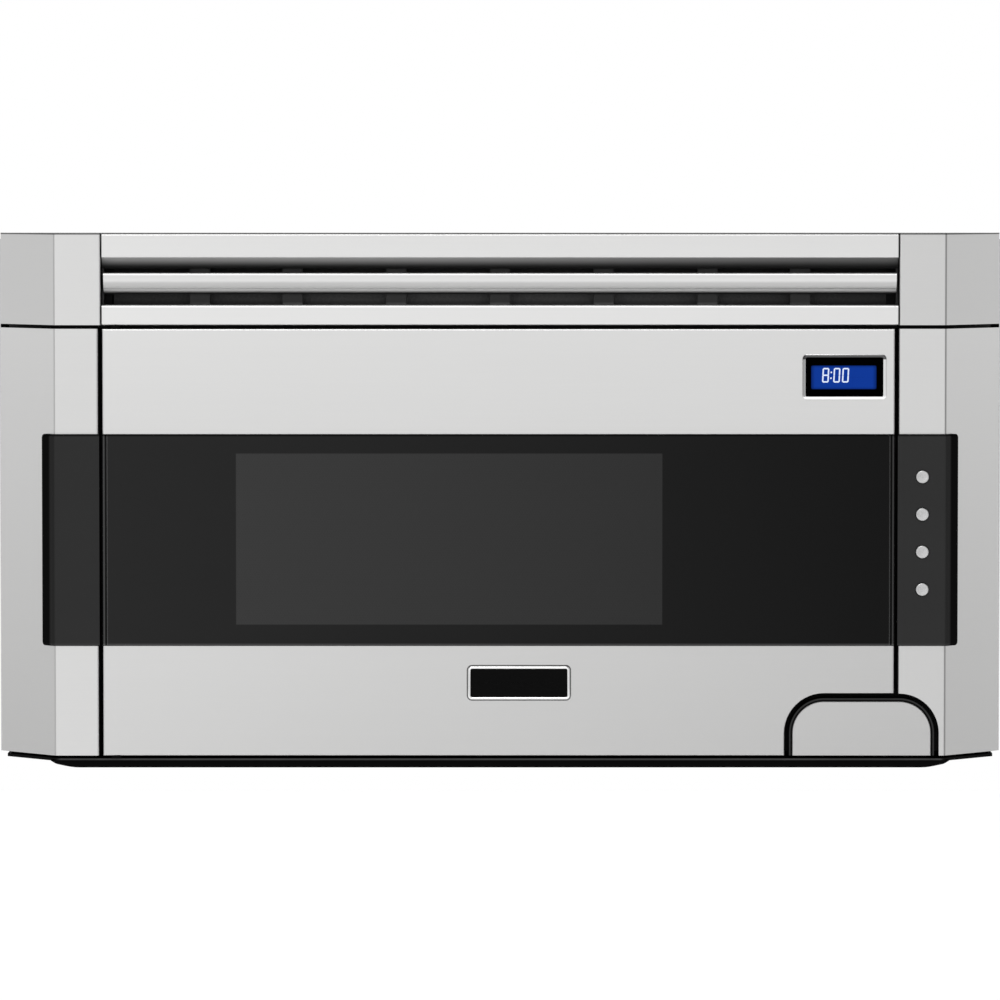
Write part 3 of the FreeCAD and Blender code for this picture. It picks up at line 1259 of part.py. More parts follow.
def hv_transformer():
    """Iron core with its windings, standing in the pan."""
    x0 = BAY_WALL + IRON_FROM_WALL
    y1 = -IRON_BACK
    iron = box(x0, x0 + IRON_WIDTH, y1 - IRON_DEPTH, y1, Z_DISH_FLOOR, Z_DISH_FLOOR + IRON_HEIGHT)
    coil = box(x0 + WINDING, x0 + IRON_WIDTH - WINDING, y1 - IRON_DEPTH - WINDING, y1 + WINDING,
               Z_DISH_FLOOR + WINDING, Z_DISH_FLOOR + IRON_HEIGHT - WINDING)
    return fused(iron, coil)


def hv_capacitor():
    """Oval capacitor can on the cavity wall."""
    front = Y_FRAME + CAN_FRONT
    x0 = BAY_WALL
    z0 = CAVITY_FLOOR + CAN_THICK
    can = prism_z(rectangle(x0, x0 + CAN_THICK, front, front + CAN_WIDTH, CAN_ROUND), z0, z0 + CAN_HEIGHT)
    middle = front + CAN_WIDTH / 2
    lugs = [rod(LUG_R, (x0 + CAN_THICK / 2, y, z0 + CAN_HEIGHT), (0, 0, 1), LUG_HEIGHT)
            for y in (middle - LUG_SPACING / 2, middle + LUG_SPACING / 2)]
    return fused(can, *lugs)


def fan_shroud():
    """Partition behind the magnetron with a round opening for the fan."""
    wall = box(BAY_WALL, HALF - CASE_SHEET, -SHROUD_BACK, -SHROUD_BACK + SKIN,
               CAVITY_MID_Z - FAN_R, Z_CEILING)
    return wall.cut(rod(FAN_R + FAN_TIP_GAP, (FAN_X, -SHROUD_BACK, GUIDE_Z), (0, 1, 0), SKIN))


def fan_motor():
    """Small motor on a cross bar behind the fan."""
    front = -SHROUD_BACK + SKIN + FAN_DEPTH / 2
    body = box(FAN_X - FAN_MOTOR_WIDTH / 2, FAN_X + FAN_MOTOR_WIDTH / 2, front, front + FAN_MOTOR_DEPTH,
               GUIDE_Z - FAN_MOTOR_HEIGHT / 2, GUIDE_Z + FAN_MOTOR_HEIGHT / 2)
    reach = FAN_R + FAN_TIP_GAP + STRUT
    pieces = [box(FAN_X - reach, FAN_X + reach, front, front + STRUT, GUIDE_Z - STRUT, GUIDE_Z + STRUT)]
    for side in (-1, 1):
        end = FAN_X + side * (reach - STRUT / 2)
        pieces.append(box(end - STRUT / 2, end + STRUT / 2, -SHROUD_BACK + SKIN, front + STRUT,
                          GUIDE_Z - STRUT, GUIDE_Z + STRUT))
    bore = rod(FAN_SHAFT_R + PIN_CLEAR, (FAN_X, front, GUIDE_Z), (0, 1, 0), FAN_MOTOR_DEPTH / 2)
    return fused(body, *pieces).cut(bore)


def fan_blade():
    """Cooling fan with its shaft."""
    front = -SHROUD_BACK + SKIN / 2 - FAN_DEPTH / 2
    hub = rod(FAN_HUB_R, (FAN_X, front, GUIDE_Z), (0, 1, 0), FAN_DEPTH - RUN_GAP)
    motor_front = -SHROUD_BACK + SKIN + FAN_DEPTH / 2
    shaft_end = motor_front + FAN_MOTOR_DEPTH / 2 - RUN_GAP
    shaft = rod(FAN_SHAFT_R, (FAN_X, front, GUIDE_Z), (0, 1, 0), shaft_end - front)
    blades = []
    middle_y = front + FAN_DEPTH / 2
    for i in range(FAN_BLADES):
        blade = Part.makeBox(BLADE_SHEET, FAN_CHORD, FAN_R - FAN_HUB_R / 2,
                             V(FAN_X - BLADE_SHEET / 2, middle_y - FAN_CHORD / 2, GUIDE_Z + FAN_HUB_R / 2))
        blade.rotate(V(FAN_X, middle_y, GUIDE_Z), V(0, 0, 1), FAN_PITCH)
        blade.rotate(V(FAN_X, middle_y, GUIDE_Z), V(0, 1, 0), i * 360 / FAN_BLADES)
        blades.append(blade)
    return fused(hub, shaft, *blades)


# Hood blower

def scroll(x0):
    """One blower housing: a drum with an outlet to the front and an inlet on each side."""
    x1 = x0 + SCROLL_WIDTH
    s = SCROLL_SHEET
    y = -BLOWER_BACK
    top = BLOWER_Z + SCROLL_R
    drum = rod(SCROLL_R, (x0, y, BLOWER_Z), (1, 0, 0), SCROLL_WIDTH)
    spout = box(x0, x1, y - SCROLL_OUTLET, y, top - OUTLET_HEIGHT, top)
    foot = box(x0, x1, y - SCROLL_R / 2, y + SCROLL_R / 2, DECK, BLOWER_Z - SCROLL_R / 2)
    hollow = rod(SCROLL_R - s, (x0 + s, y, BLOWER_Z), (1, 0, 0), SCROLL_WIDTH - 2 * s)
    channel = box(x0 + s, x1 - s, y - SCROLL_OUTLET, y, top - OUTLET_HEIGHT + s, top - s)
    inlets = rod(INLET_R, (x0, y, BLOWER_Z), (1, 0, 0), SCROLL_WIDTH)
    return fused(drum, spout, foot).cut(hollow).cut(channel).cut(inlets)


def blower_housings():
    """Both blower housings, one on each side of the motor."""
    return Part.makeCompound([scroll(BLOWER_X - SCROLL_IN - SCROLL_WIDTH), scroll(BLOWER_X + SCROLL_IN)])


def blower_motor():
    """Blower motor on a saddle between the housings."""
    x0 = BLOWER_X - BLOWER_MOTOR_LENGTH / 2
    y = -BLOWER_BACK
    body = rod(BLOWER_MOTOR_R, (x0, y, BLOWER_Z), (1, 0, 0), BLOWER_MOTOR_LENGTH)
    quarter = BLOWER_MOTOR_LENGTH / 4
    half = BLOWER_MOTOR_R / 2
    saddle = box(BLOWER_X - quarter, BLOWER_X + quarter, y - half, y + half, DECK, BLOWER_Z)
    bore = rod(BLOWER_SHAFT_R + PIN_CLEAR, (x0, y, BLOWER_Z), (1, 0, 0), BLOWER_MOTOR_LENGTH)
    return fused(body, saddle).cut(bore)


def blower_wheels():
    """Twin bladed wheels on one shaft."""
    y = -BLOWER_BACK
    length = SCROLL_WIDTH - 2 * (SCROLL_SHEET + WHEEL_SIDE_GAP)
    near = SCROLL_IN + SCROLL_SHEET + WHEEL_SIDE_GAP
    inset = WHEEL_SHEET / 2
    pieces = []
    for x0 in (BLOWER_X - near - length, BLOWER_X + near):
        hub_x = x0 if x0 > BLOWER_X else x0 + length - WHEEL_SHEET
        pieces.append(rod(WHEEL_R, (hub_x, y, BLOWER_Z), (1, 0, 0), WHEEL_SHEET))
        far_x = x0 + length - WHEEL_SHEET if x0 > BLOWER_X else x0
        pieces.append(tube(WHEEL_R, WHEEL_R - WHEEL_BLADE, (far_x, y, BLOWER_Z), (1, 0, 0), WHEEL_SHEET))
        for i in range(WHEEL_BLADES):
            blade = box(x0 + inset, x0 + length - inset, y - BLADE_SHEET / 2, y + BLADE_SHEET / 2,
                        BLOWER_Z + WHEEL_R - WHEEL_BLADE + inset, BLOWER_Z + WHEEL_R - inset)
            blade.rotate(V(x0, y, BLOWER_Z), V(1, 0, 0), i * 360 / WHEEL_BLADES)
            pieces.append(blade)
    reach = near + WHEEL_SHEET
    shaft = rod(BLOWER_SHAFT_R, (BLOWER_X - reach, y, BLOWER_Z), (1, 0, 0), 2 * reach)
    return fused(shaft, *pieces)


def build():
    """Make every piece and write it to its own file."""
    makers = [case_wrap, rear_panel, wall_plate, front_frame, oven_cavity, base_pan, grease_filters,
              lamp_lenses, lamps, duct_cover, cord_gland, fasteners, left_front_panel,
              right_front_panel, top_caps, vent_grille, grille_louvre, charcoal_filter,
              left_glass_band, control_glass, door_skin, door_glass, door_frame, door_screen,
              choke_cover, door_hinge_bushes, door_hinges, display_bezel, display_lens, nameplate,
              open_pad, pad_plate, pad_housing, open_lever, latch_catch, latch_bar, button_carrier,
              control_board, turntable_motor, turntable_coupler, roller_ring, glass_tray, waveguide,
              waveguide_cover, magnetron, hv_transformer, hv_capacitor, fan_shroud, fan_motor,
              fan_blade, blower_housings, blower_motor, blower_wheels]
    pieces = {maker.__name__: maker() for maker in makers}
    for i, z in enumerate(button_spots()):
        pieces[f"button_{i + 1}"] = push_button(z)
    for i, angle in enumerate(roller_angles()):
        pieces[f"roller_{i + 1}"] = roller(angle)
    os.makedirs("parts", exist_ok=True)
    for name, shape in pieces.items():
        shape.exportStep(f"parts/{name}.step")


build()
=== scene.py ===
# %% [markdown]
# A microwave oven that hangs over a range: steel front, black glass band, black sheet case.
# The solids come from CAD and are already in place, in metres, so this lesson only dresses them.
# X runs to the right, Y from the room to the wall and Z up. Nothing from CAD is moved.

# %% Load the packed solids
import bmesh
import bpy
import json
import math
import numpy as np
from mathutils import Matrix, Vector


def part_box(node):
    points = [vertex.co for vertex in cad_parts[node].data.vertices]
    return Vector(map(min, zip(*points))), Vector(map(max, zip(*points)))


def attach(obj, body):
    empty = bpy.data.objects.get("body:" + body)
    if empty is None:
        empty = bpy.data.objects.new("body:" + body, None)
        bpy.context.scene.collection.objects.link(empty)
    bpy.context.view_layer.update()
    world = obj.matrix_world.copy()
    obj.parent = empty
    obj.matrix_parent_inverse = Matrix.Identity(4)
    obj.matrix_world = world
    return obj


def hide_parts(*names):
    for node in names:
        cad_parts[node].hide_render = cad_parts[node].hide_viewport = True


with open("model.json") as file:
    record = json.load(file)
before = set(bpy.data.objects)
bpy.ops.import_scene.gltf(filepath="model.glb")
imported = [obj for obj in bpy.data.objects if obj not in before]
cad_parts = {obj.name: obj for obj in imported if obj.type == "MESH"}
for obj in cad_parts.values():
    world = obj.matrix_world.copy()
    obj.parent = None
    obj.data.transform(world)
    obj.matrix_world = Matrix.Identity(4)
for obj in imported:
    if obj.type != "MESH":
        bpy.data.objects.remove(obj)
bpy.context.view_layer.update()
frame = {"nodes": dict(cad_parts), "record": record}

# %% [markdown]
# The camera comes first, because every tone on polished sheet depends on where it is seen from.
# A real product shot like this is taken from far away with a long lens, so upright lines stay
# upright and the ends of the front hardly shrink. We could draw it flat with an orthographic camera,
# but a long lens also keeps the slight rise of the folded-back lower edges.

# %% Camera
FRAME_WIDTH = 0.7555  # metres across the picture at the steel face
CAMERA_AWAY = 5.0
CAMERA_RAISE = 0.26
AIM_HEIGHT = 0.1937
SENSOR_WIDTH = 36.0  # millimetres

FACE_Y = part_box("door_skin")[0].y
aim = Vector((0.0, FACE_Y, AIM_HEIGHT))
eye = bpy.data.cameras.new("product_camera")
eye.sensor_width = SENSOR_WIDTH
eye.lens = SENSOR_WIDTH * math.hypot(CAMERA_AWAY, CAMERA_RAISE) / FRAME_WIDTH
camera = bpy.data.objects.new("product_camera", eye)
camera.location = aim + Vector((0.0, -CAMERA_AWAY, CAMERA_RAISE))
camera.rotation_euler = (aim - camera.location).to_track_quat("-Z", "Y").to_euler()
bpy.context.scene.collection.objects.link(camera)
bpy.context.scene.camera = camera
bpy.context.scene.view_settings.view_transform = "Standard"
print("lens", round(eye.lens, 1), "pitch", round(math.degrees(math.atan2(CAMERA_RAISE, CAMERA_AWAY)), 2))

# %% [markdown]
# Shader graphs are easier to read as sums. This class wraps one output of a node, so that
# `1 - mask * 0.5` adds two Math nodes and hands back the last. Every other node comes from `add`:
# its settings go in first, because some of them change the sockets, and then a value or a link
# for each socket.

# %% One wire of a shader
class Wire:
    """One output socket; operators on it add Math nodes to its tree."""

    def __init__(self, tree, socket):
        self.tree = tree
        self.socket = socket

    def add(self, kind, settings=None, sockets=None, out=0):
        """Any node: settings, then socket values or wires; hands back the output named by out."""
        node = self.tree.nodes.new(kind)
        for name, value in (settings or {}).items():
            setattr(node, name, value)
        for name, value in (sockets or {}).items():
            if isinstance(value, Wire):
                self.tree.links.new(value.socket, node.inputs[name])
            else:
                node.inputs[name].default_value = value
        return Wire(self.tree, node.outputs[out])

    def parts(self):
        """The x, y and z of a vector as three wires."""
        node = self.add("ShaderNodeSeparateXYZ", {}, {0: self}).socket.node
        return [Wire(self.tree, output) for output in node.outputs]

    def maths(self, operation, *others):
        """Math node that takes this wire first and the others after it."""
        return self.add("ShaderNodeMath", {"operation": operation}, dict(enumerate((self, *others))))

    def step(self, low, high, to_low=0.0, to_high=1.0):
        """Smooth change from to_low to to_high while this wire goes from low to high."""
        return self.add("ShaderNodeMapRange", {"interpolation_type": "SMOOTHSTEP"},
                        {0: self, 1: low, 2: high, 3: to_low, 4: to_high})

    def between(self, low, high, soft):
        """1 while this wire lies between low and high, with edges that reach soft to both sides."""
        return self.step(low - soft, low + soft) * self.step(high - soft, high + soft, 1.0, 0.0)

    def feed(self, node, socket):
        """Link to a socket of a node."""
        self.tree.links.new(self.socket, node.inputs[socket])

    def __add__(self, other):
        return self.maths("ADD", other)

    def __sub__(self, other):
        return self.maths("SUBTRACT", other)

    def __rsub__(self, other):
        return self.add("ShaderNodeMath", {"operation": "SUBTRACT"}, {0: other, 1: self})

    def __mul__(self, other):
        return self.maths("MULTIPLY", other)

    def __truediv__(self, other):
        return self.maths("DIVIDE", other)

    def __pow__(self, other):
        return self.maths("POWER", other)

    def __abs__(self):
        return self.maths("ABSOLUTE")

    __radd__ = __add__
    __rmul__ = __mul__


print("wire operators", [name for name in vars(Wire) if name.startswith("__") and name != "__init__"])

# %% [markdown]
# A studio for steel is a white tent: what the sheet shows is the tent. Rays that bounce off metal
# meet a room that is a little brighter above the horizon than below, brighter on the left than on
# the right, and quieter at both sides, which is why the folded-back flanks come out darker than
# the flat front. Between front and side the tent has a dark seam, which draws a thin line along each
# fold. The wall side is plain white, and so is whatever the camera sees past the oven.

# %% The white tent
ABOVE, BELOW = 1.30, 0.97
HORIZON = (-0.03, 0.09)
LEFT_LEAN = 0.16
LEAN_TURN = 0.16  # radians from the middle
SIDE_LEFT, SIDE_RIGHT = 0.84, 0.775
SIDE_NEAR, SIDE_FAR = 0.55, 1.35  # radians between which the front turns into the side
CORNER_DIP = 0.55
CORNER_START = (0.40, 0.70)
CORNER_END = (0.85, 1.15)
OVERHEAD = 0.55
OVERHEAD_START = (0.55, 0.85)
WALL_START = (0.0, 0.25)
ROOM_LIGHT = 1.08

world = bpy.data.worlds.new("white_tent")
world.use_nodes = True
bpy.context.scene.world = world
tent = world.node_tree
tent.nodes.clear()
way = Wire(tent, tent.nodes.new("ShaderNodeTexCoord").outputs["Generated"])
rays = tent.nodes.new("ShaderNodeLightPath")
dx, dy, dz = way.parts()
turn = dx.maths("ARCTAN2", -1.0 * dy)
lean = 1.0 - LEFT_LEAN * (turn / LEAN_TURN).maths("TANH")
height = dz.step(*HORIZON, BELOW, ABOVE)
left_side = turn.step(-SIDE_FAR, -SIDE_NEAR, SIDE_LEFT, 0.0)
right_side = turn.step(SIDE_NEAR, SIDE_FAR, 0.0, SIDE_RIGHT)
middle = abs(turn).step(SIDE_NEAR, SIDE_FAR, 1.0, 0.0)
corner = abs(turn).step(*CORNER_START) * abs(turn).step(*CORNER_END, 1.0, 0.0)
room = (middle * height * lean + left_side + right_side) * (1.0 - CORNER_DIP * corner)
room = room * dz.step(*OVERHEAD_START, 1.0, OVERHEAD)
behind = dy.step(*WALL_START)
shown = room * (1.0 - behind) + behind
diffuse_ray = Wire(tent, rays.outputs["Is Diffuse Ray"])
camera_ray = Wire(tent, rays.outputs["Is Camera Ray"])
level = shown * (1.0 - diffuse_ray) + ROOM_LIGHT * diffuse_ray
level = level * (1.0 - camera_ray) + camera_ray
glow = way.add("ShaderNodeBackground", {}, {"Color": level, "Strength": 1.0})
glow.feed(tent.nodes.new("ShaderNodeOutputWorld"), "Surface")
print("tent nodes", len(tent.nodes))

# %% [markdown]
# One wide lamp hangs above and in front, out of the glass band's mirror direction, for a soft glint on
# rolled edges. The oven hangs on a wall, so the floor lies well below it and only catches its shadow.

# %% Lamp and floor
FLOOR_DROP = 0.45
FLOOR_REACH = 4.0
FLOOR_STEPS = 9
LAMP_PLACE = Vector((-0.35, -1.7, 2.1))
LAMP_AIM = Vector((0.0, -0.3, 0.2))
LAMP_WIDTH, LAMP_DEPTH = 1.6, 0.7
LAMP_WATTS = 14.0

lamp = bpy.data.lights.new("overhead_softbox", "AREA")
lamp.shape = "RECTANGLE"
lamp.size = LAMP_WIDTH
lamp.size_y = LAMP_DEPTH
lamp.energy = LAMP_WATTS
softbox = bpy.data.objects.new("overhead_softbox", lamp)
softbox.location = LAMP_PLACE
softbox.rotation_euler = (LAMP_AIM - LAMP_PLACE).to_track_quat("-Z", "Y").to_euler()
bpy.context.scene.collection.objects.link(softbox)


def floor_sheet(reach, steps):
    """Flat square: point = (u, v, floor level), u and v running evenly from -reach to reach."""
    u, v = np.meshgrid(np.linspace(-reach, reach, steps), np.linspace(-reach, reach, steps), indexing="ij")
    return np.stack([u, v, np.full_like(u, -FLOOR_DROP)], -1)


def grid_faces(rows, columns, close_rows=False, close_columns=False):
    """Quads between neighbours of a grid of points; a closed direction joins its last row to its first."""
    i, j = np.meshgrid(np.arange(rows if close_rows else rows - 1),
                       np.arange(columns if close_columns else columns - 1), indexing="ij")
    i2, j2 = (i + 1) % rows, (j + 1) % columns
    quads = np.stack([i * columns + j, i2 * columns + j, i2 * columns + j2, i * columns + j2], -1)
    return quads.reshape(-1, 4)


def mesh_from(name, points, faces, smooth=True):
    """New object from an array of points and an array of faces with the same number of corners."""
    mesh = bpy.data.meshes.new(name)
    points = np.asarray(points, float).reshape(-1, 3)
    mesh.from_pydata(points.tolist(), [], np.asarray(faces).tolist())
    mesh.polygons.foreach_set("use_smooth", np.full(len(mesh.polygons), smooth))
    mesh.update()
    piece = bpy.data.objects.new(name, mesh)
    bpy.context.scene.collection.objects.link(piece)
    return piece


floor = mesh_from("pale_floor", floor_sheet(FLOOR_REACH, FLOOR_STEPS), grid_faces(FLOOR_STEPS, FLOOR_STEPS))
print("floor quads", len(floor.data.polygons))

# %% [markdown]
# Each finish starts the same way: a Principled shader, its constant values on its own sockets, and the
# Object coordinate split into x, y and z. CAD nodes sit at the origin, so Object coordinates are metres
# of the oven itself, and a pattern can be laid out with a ruler.

# %% Start of a finish
class Finish:
    """A material with its shader and the oven's own coordinates as wires."""

    def __init__(self, name, **plain):
        self.material = bpy.data.materials.new(name)
        self.material.use_nodes = True
        self.tree = self.material.node_tree
        self.shader = self.tree.nodes["Principled BSDF"]
        for socket, value in plain.items():
            self.shader.inputs[socket.replace("_", " ")].default_value = value
        self.place = Wire(self.tree, self.tree.nodes.new("ShaderNodeTexCoord").outputs["Object"])
        self.x, self.y, self.z = self.place.parts()

    def ruled(self, pitch):
        """Coordinates counted in steps of pitch metres, one pitch for all three or one for each."""
        steps = (pitch,) * 3 if isinstance(pitch, float) else pitch
        return self.place.add("ShaderNodeVectorMath", {"operation": "DIVIDE"}, {0: self.place, 1: steps})

    def cloud(self, pitch, detail=3.0):
        """Noise whose features are about pitch metres long along x, y and z."""
        return self.place.add("ShaderNodeTexNoise", {},
                              {"Vector": self.ruled(pitch), "Scale": 1.0, "Detail": detail})

    def cells(self, pitch, out=0):
        """Voronoi pattern with cells about pitch metres wide: distance from output 0, colours from 1."""
        return self.place.add("ShaderNodeTexVoronoi", {}, {"Vector": self.ruled(pitch), "Scale": 1.0}, out)

    def colours(self, mask, first, second):
        """Mix from the first colour to the second where mask goes from 0 to 1."""
        return self.place.add("ShaderNodeMix", {"data_type": "RGBA"},
                              {0: mask, 6: (*first, 1.0), 7: (*second, 1.0)}, out=2)

    def set(self, **varied):
        """Wires into the sockets of the shader that they are named for."""
        for socket, wire in varied.items():
            wire.feed(self.shader, socket.replace("_", " "))

    def relief(self, height, depth, strength=1.0):
        """Bump of that depth in metres into the shader's normal."""
        sockets = {"Strength": strength, "Distance": depth, "Height": height}
        self.place.add("ShaderNodeBump", {}, sockets).feed(self.shader, "Normal")

    def other_shader(self, mask, other):
        """The other shader shows instead of the main one where mask is 1."""
        main = Wire(self.tree, self.shader.outputs[0])
        both = self.place.add("ShaderNodeMixShader", {}, {0: mask, 1: main, 2: other})
        both.feed(self.tree.nodes["Material Output"], "Surface")

    def matt(self, mask, tone):
        """Where mask is 1 the surface is dead matt in that grey, without any reflection."""
        dull = self.place.add("ShaderNodeBsdfDiffuse", {}, {"Color": (tone, tone, tone, 1.0)})
        self.other_shader(mask, dull)


FINISHES = {}
print("helpers of a finish", [name for name in vars(Finish) if not name.startswith("__")])

# %% [markdown]
# Stainless sheet gets its look from a belt of fine grit that leaves thousands of hair lines along the
# sheet. A photo texture of scratches would repeat; noise stretched hundreds of times along the sheet
# never does. The lines change the roughness and a very shallow bump, and the colour hardly at all.
# Only the face is polished: the returns behind it are painted near black as painted shade, so that gaps
# look like drawn lines, and the mask for that is simply how far a point lies behind the folded front. Thin
# lines of painted shade run along the folds, the top edge and the upright seams of the caps, and the tone
# carries a painted light gradient over height and to the right.

# %% Brushed steel
SLOT_HEIGHT = 0.0080
SEAM_HALF = 0.0003
TOP_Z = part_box("top_caps")[1].z
CAP_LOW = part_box("top_caps")[0].z
CAP_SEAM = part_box("vent_grille")[1].x + SEAM_HALF
LOWER_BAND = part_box("grille_louvre")[0].z - SLOT_HEIGHT
FOLD_X = 0.3365
EVEN_HEIGHT = 0.19  # where the tone is as it is written
HAIR = (0.12, 0.12, 0.00045)
FINE_HAIR = (0.03, 0.03, 0.00018)
COIL_MARK = (0.35, 0.35, 0.12)
# Tone of the painted shade on the returns behind the face.
PAINTED_SHADE_TONE = 0.014


def behind_face(sheet):
    """Metres behind the outer face: y - face, less the run of the flank, which goes back at 45 degrees."""
    return sheet.y - FACE_Y - (abs(sheet.x) - FOLD_X).maths("MAXIMUM", 0.0)


def painted_shade_lines(sheet):
    """1 on the sheet and less on thin lines of painted shade: folds, top edge and the upright seams of the
    caps.
    """
    fold = abs(abs(sheet.x) - FOLD_X).step(0.0002, 0.0010, 1.0, 0.0) * sheet.x.step(-0.01, 0.01, 0.16, 0.45)
    top_edge = sheet.z.step(TOP_Z - 0.0013, TOP_Z - 0.0006, 0.0, 0.80)
    seam = abs(abs(sheet.x) - CAP_SEAM).step(SEAM_HALF, 3 * SEAM_HALF, 0.85, 0.0)
    seam = seam * sheet.z.step(CAP_LOW - 2 * SEAM_HALF, CAP_LOW)
    return (1.0 - fold) * (1.0 - top_edge) * (1.0 - seam)


def brushed_steel(name, tone, rise=0.80, flat_rise=0.62, fade=0.25, fade_top=0.25, black=(0.0016, 0.0036),
                  rolled_edge=False, ribs=False):
    """Metal sheet with hair lines along the horizontal. A painted light gradient makes its tone grow by rise
    per metre of height on the flanks and by flat_rise between the folds, where it also falls by fade per
    metre to the right below fade_top. black gives the depths between which the polished face turns into the
    return, painted near black as painted shade. A rolled edge gets painted shade where it starts to curl,
    then a painted highlight and satin further back; with ribs, the lip gets painted shade to the right and
    the ribs get painted shade towards the ends and a painted highlight at the foot."""
    sheet = Finish(name)
    lines = sheet.cloud(HAIR, 4.0) * 0.6 + sheet.cloud(FINE_HAIR, 2.0) * 0.4
    coil = sheet.cloud(COIL_MARK, 2.0)
    flank = abs(sheet.x).step(FOLD_X - 0.0005, FOLD_X + 0.0005)
    # Painted light: the tone changes with height and falls to the right, in place of a gradient of light.
    painted_light_drift = 1.0 + (flank * rise + (1.0 - flank) * flat_rise) * (sheet.z - EVEN_HEIGHT)
    painted_light_drift = painted_light_drift - fade * sheet.x * sheet.z.step(0.3 * fade_top, fade_top, 1.0, 0.0) * (1.0 - flank)
    grey = tone * painted_light_drift * (0.965 + 0.05 * lines + 0.02 * coil) * painted_shade_lines(sheet)
    depth = behind_face(sheet)
    # Painted shade: between the depths of black the sheet behind the face turns near black.
    inside = depth.step(0.0003, 0.0012) * depth.step(*black)
    polish = 1.0 - inside
    shade_tone = PAINTED_SHADE_TONE
    if rolled_edge:
        # Painted shade where the edge starts to curl, then a painted highlight further back, where it is also
        # satin.
        grey = grey * (1.0 - 0.28 * depth.between(0.0008, 0.0032, 0.0005))
        grey = grey * depth.step(0.0026, 0.0050, 1.0, 1.5)
        polish = polish * (1.0 - 0.5 * depth.between(0.0044, 0.0062, 0.0008))
    if ribs:
        # Painted shade on the lip, stronger to the right; the ribs get painted shade towards the ends and a
        # painted highlight at their foot.
        lip = depth.step(0.0006, 0.0016)
        grey = grey * (1.0 - lip + lip * sheet.x.step(-0.15, 0.30, 1.02, 0.45))
        foot = sheet.z.step(LOWER_BAND + 0.0006, LOWER_BAND + 0.0022, 0.060, 0.0)
        outer = abs(sheet.x).step(0.15, 0.25, 1.0, 0.4)
        shade_tone = shade_tone + (0.007 + foot) * outer * depth.step(0.0148, 0.0156)
    grey = grey * (1.0 - inside) + shade_tone * inside
    warm = sheet.place.add("ShaderNodeCombineColor", {}, {0: grey, 1: grey * 0.998, 2: grey * 0.992})
    sheet.set(Base_Color=warm, Metallic=polish,
              Roughness=(0.25 + 0.10 * lines) * (1.0 - inside) + 0.6 * inside)
    sheet.relief(lines, 0.00002, 0.25)
    return sheet.material


# Each copy differs in tone and painted light gradient, standing in for how light falls on its sheet.
FINISHES["steel"] = brushed_steel("brushed_steel_front", 0.60)
vent_steel = brushed_steel("brushed_steel_vent", 0.78, flat_rise=-0.70, black=(-0.0058, 0.0108), ribs=True)
louvre_steel = brushed_steel("brushed_steel_louvre", 0.62, black=(0.0042, 0.0090), rolled_edge=True)
column_steel = brushed_steel("brushed_steel_columns", 0.60, flat_rise=0.15, fade=0.14)
cap_steel = brushed_steel("brushed_steel_caps", 0.60, rise=0.02, flat_rise=-0.08, fade=0.12, fade_top=4.0)
print("steel", FINISHES["steel"].name, "face at", round(FACE_Y, 4))

# %% [markdown]
# The band is black glass: a clear pane printed black on its back, so it is black with a thin, calm
# reflection. The window in it is a screen of tiny holes behind the pane, which reads as a slightly lighter
# rectangle. Its edges are placed with the ruler, and the holes are a staggered grid of dots.

# %% Black glass of the door
WINDOW_X = (-0.1994, 0.1226)
WINDOW_Z = (0.0995, 0.2289)
HOLE_PITCH = 0.0021
ROW_RISE = 0.866  # rows of a staggered grid, in pitches
DOT_SOFT = 0.06  # edge of a dot, in pitches
PRINT_SOFT = 0.0003
WIPE_MARK = (0.11, 0.11, 0.035)
glass_low, glass_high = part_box("door_glass")


def row_of_dots(across, up, pitch, radius):
    """1 inside round dots on a staggered grid: every second row is shifted by half a pitch."""
    rows = up / (pitch * ROW_RISE)
    columns = across / pitch + abs(rows.maths("FLOOR")).maths("MODULO", 2.0) * 0.5
    u = columns.maths("FRACT") - 0.5
    v = rows.maths("FRACT") - 0.5
    away = (u * u + v * v * ROW_RISE ** 2) ** 0.5
    return away.step(radius / pitch - DOT_SOFT, radius / pitch + DOT_SOFT, 1.0, 0.0)


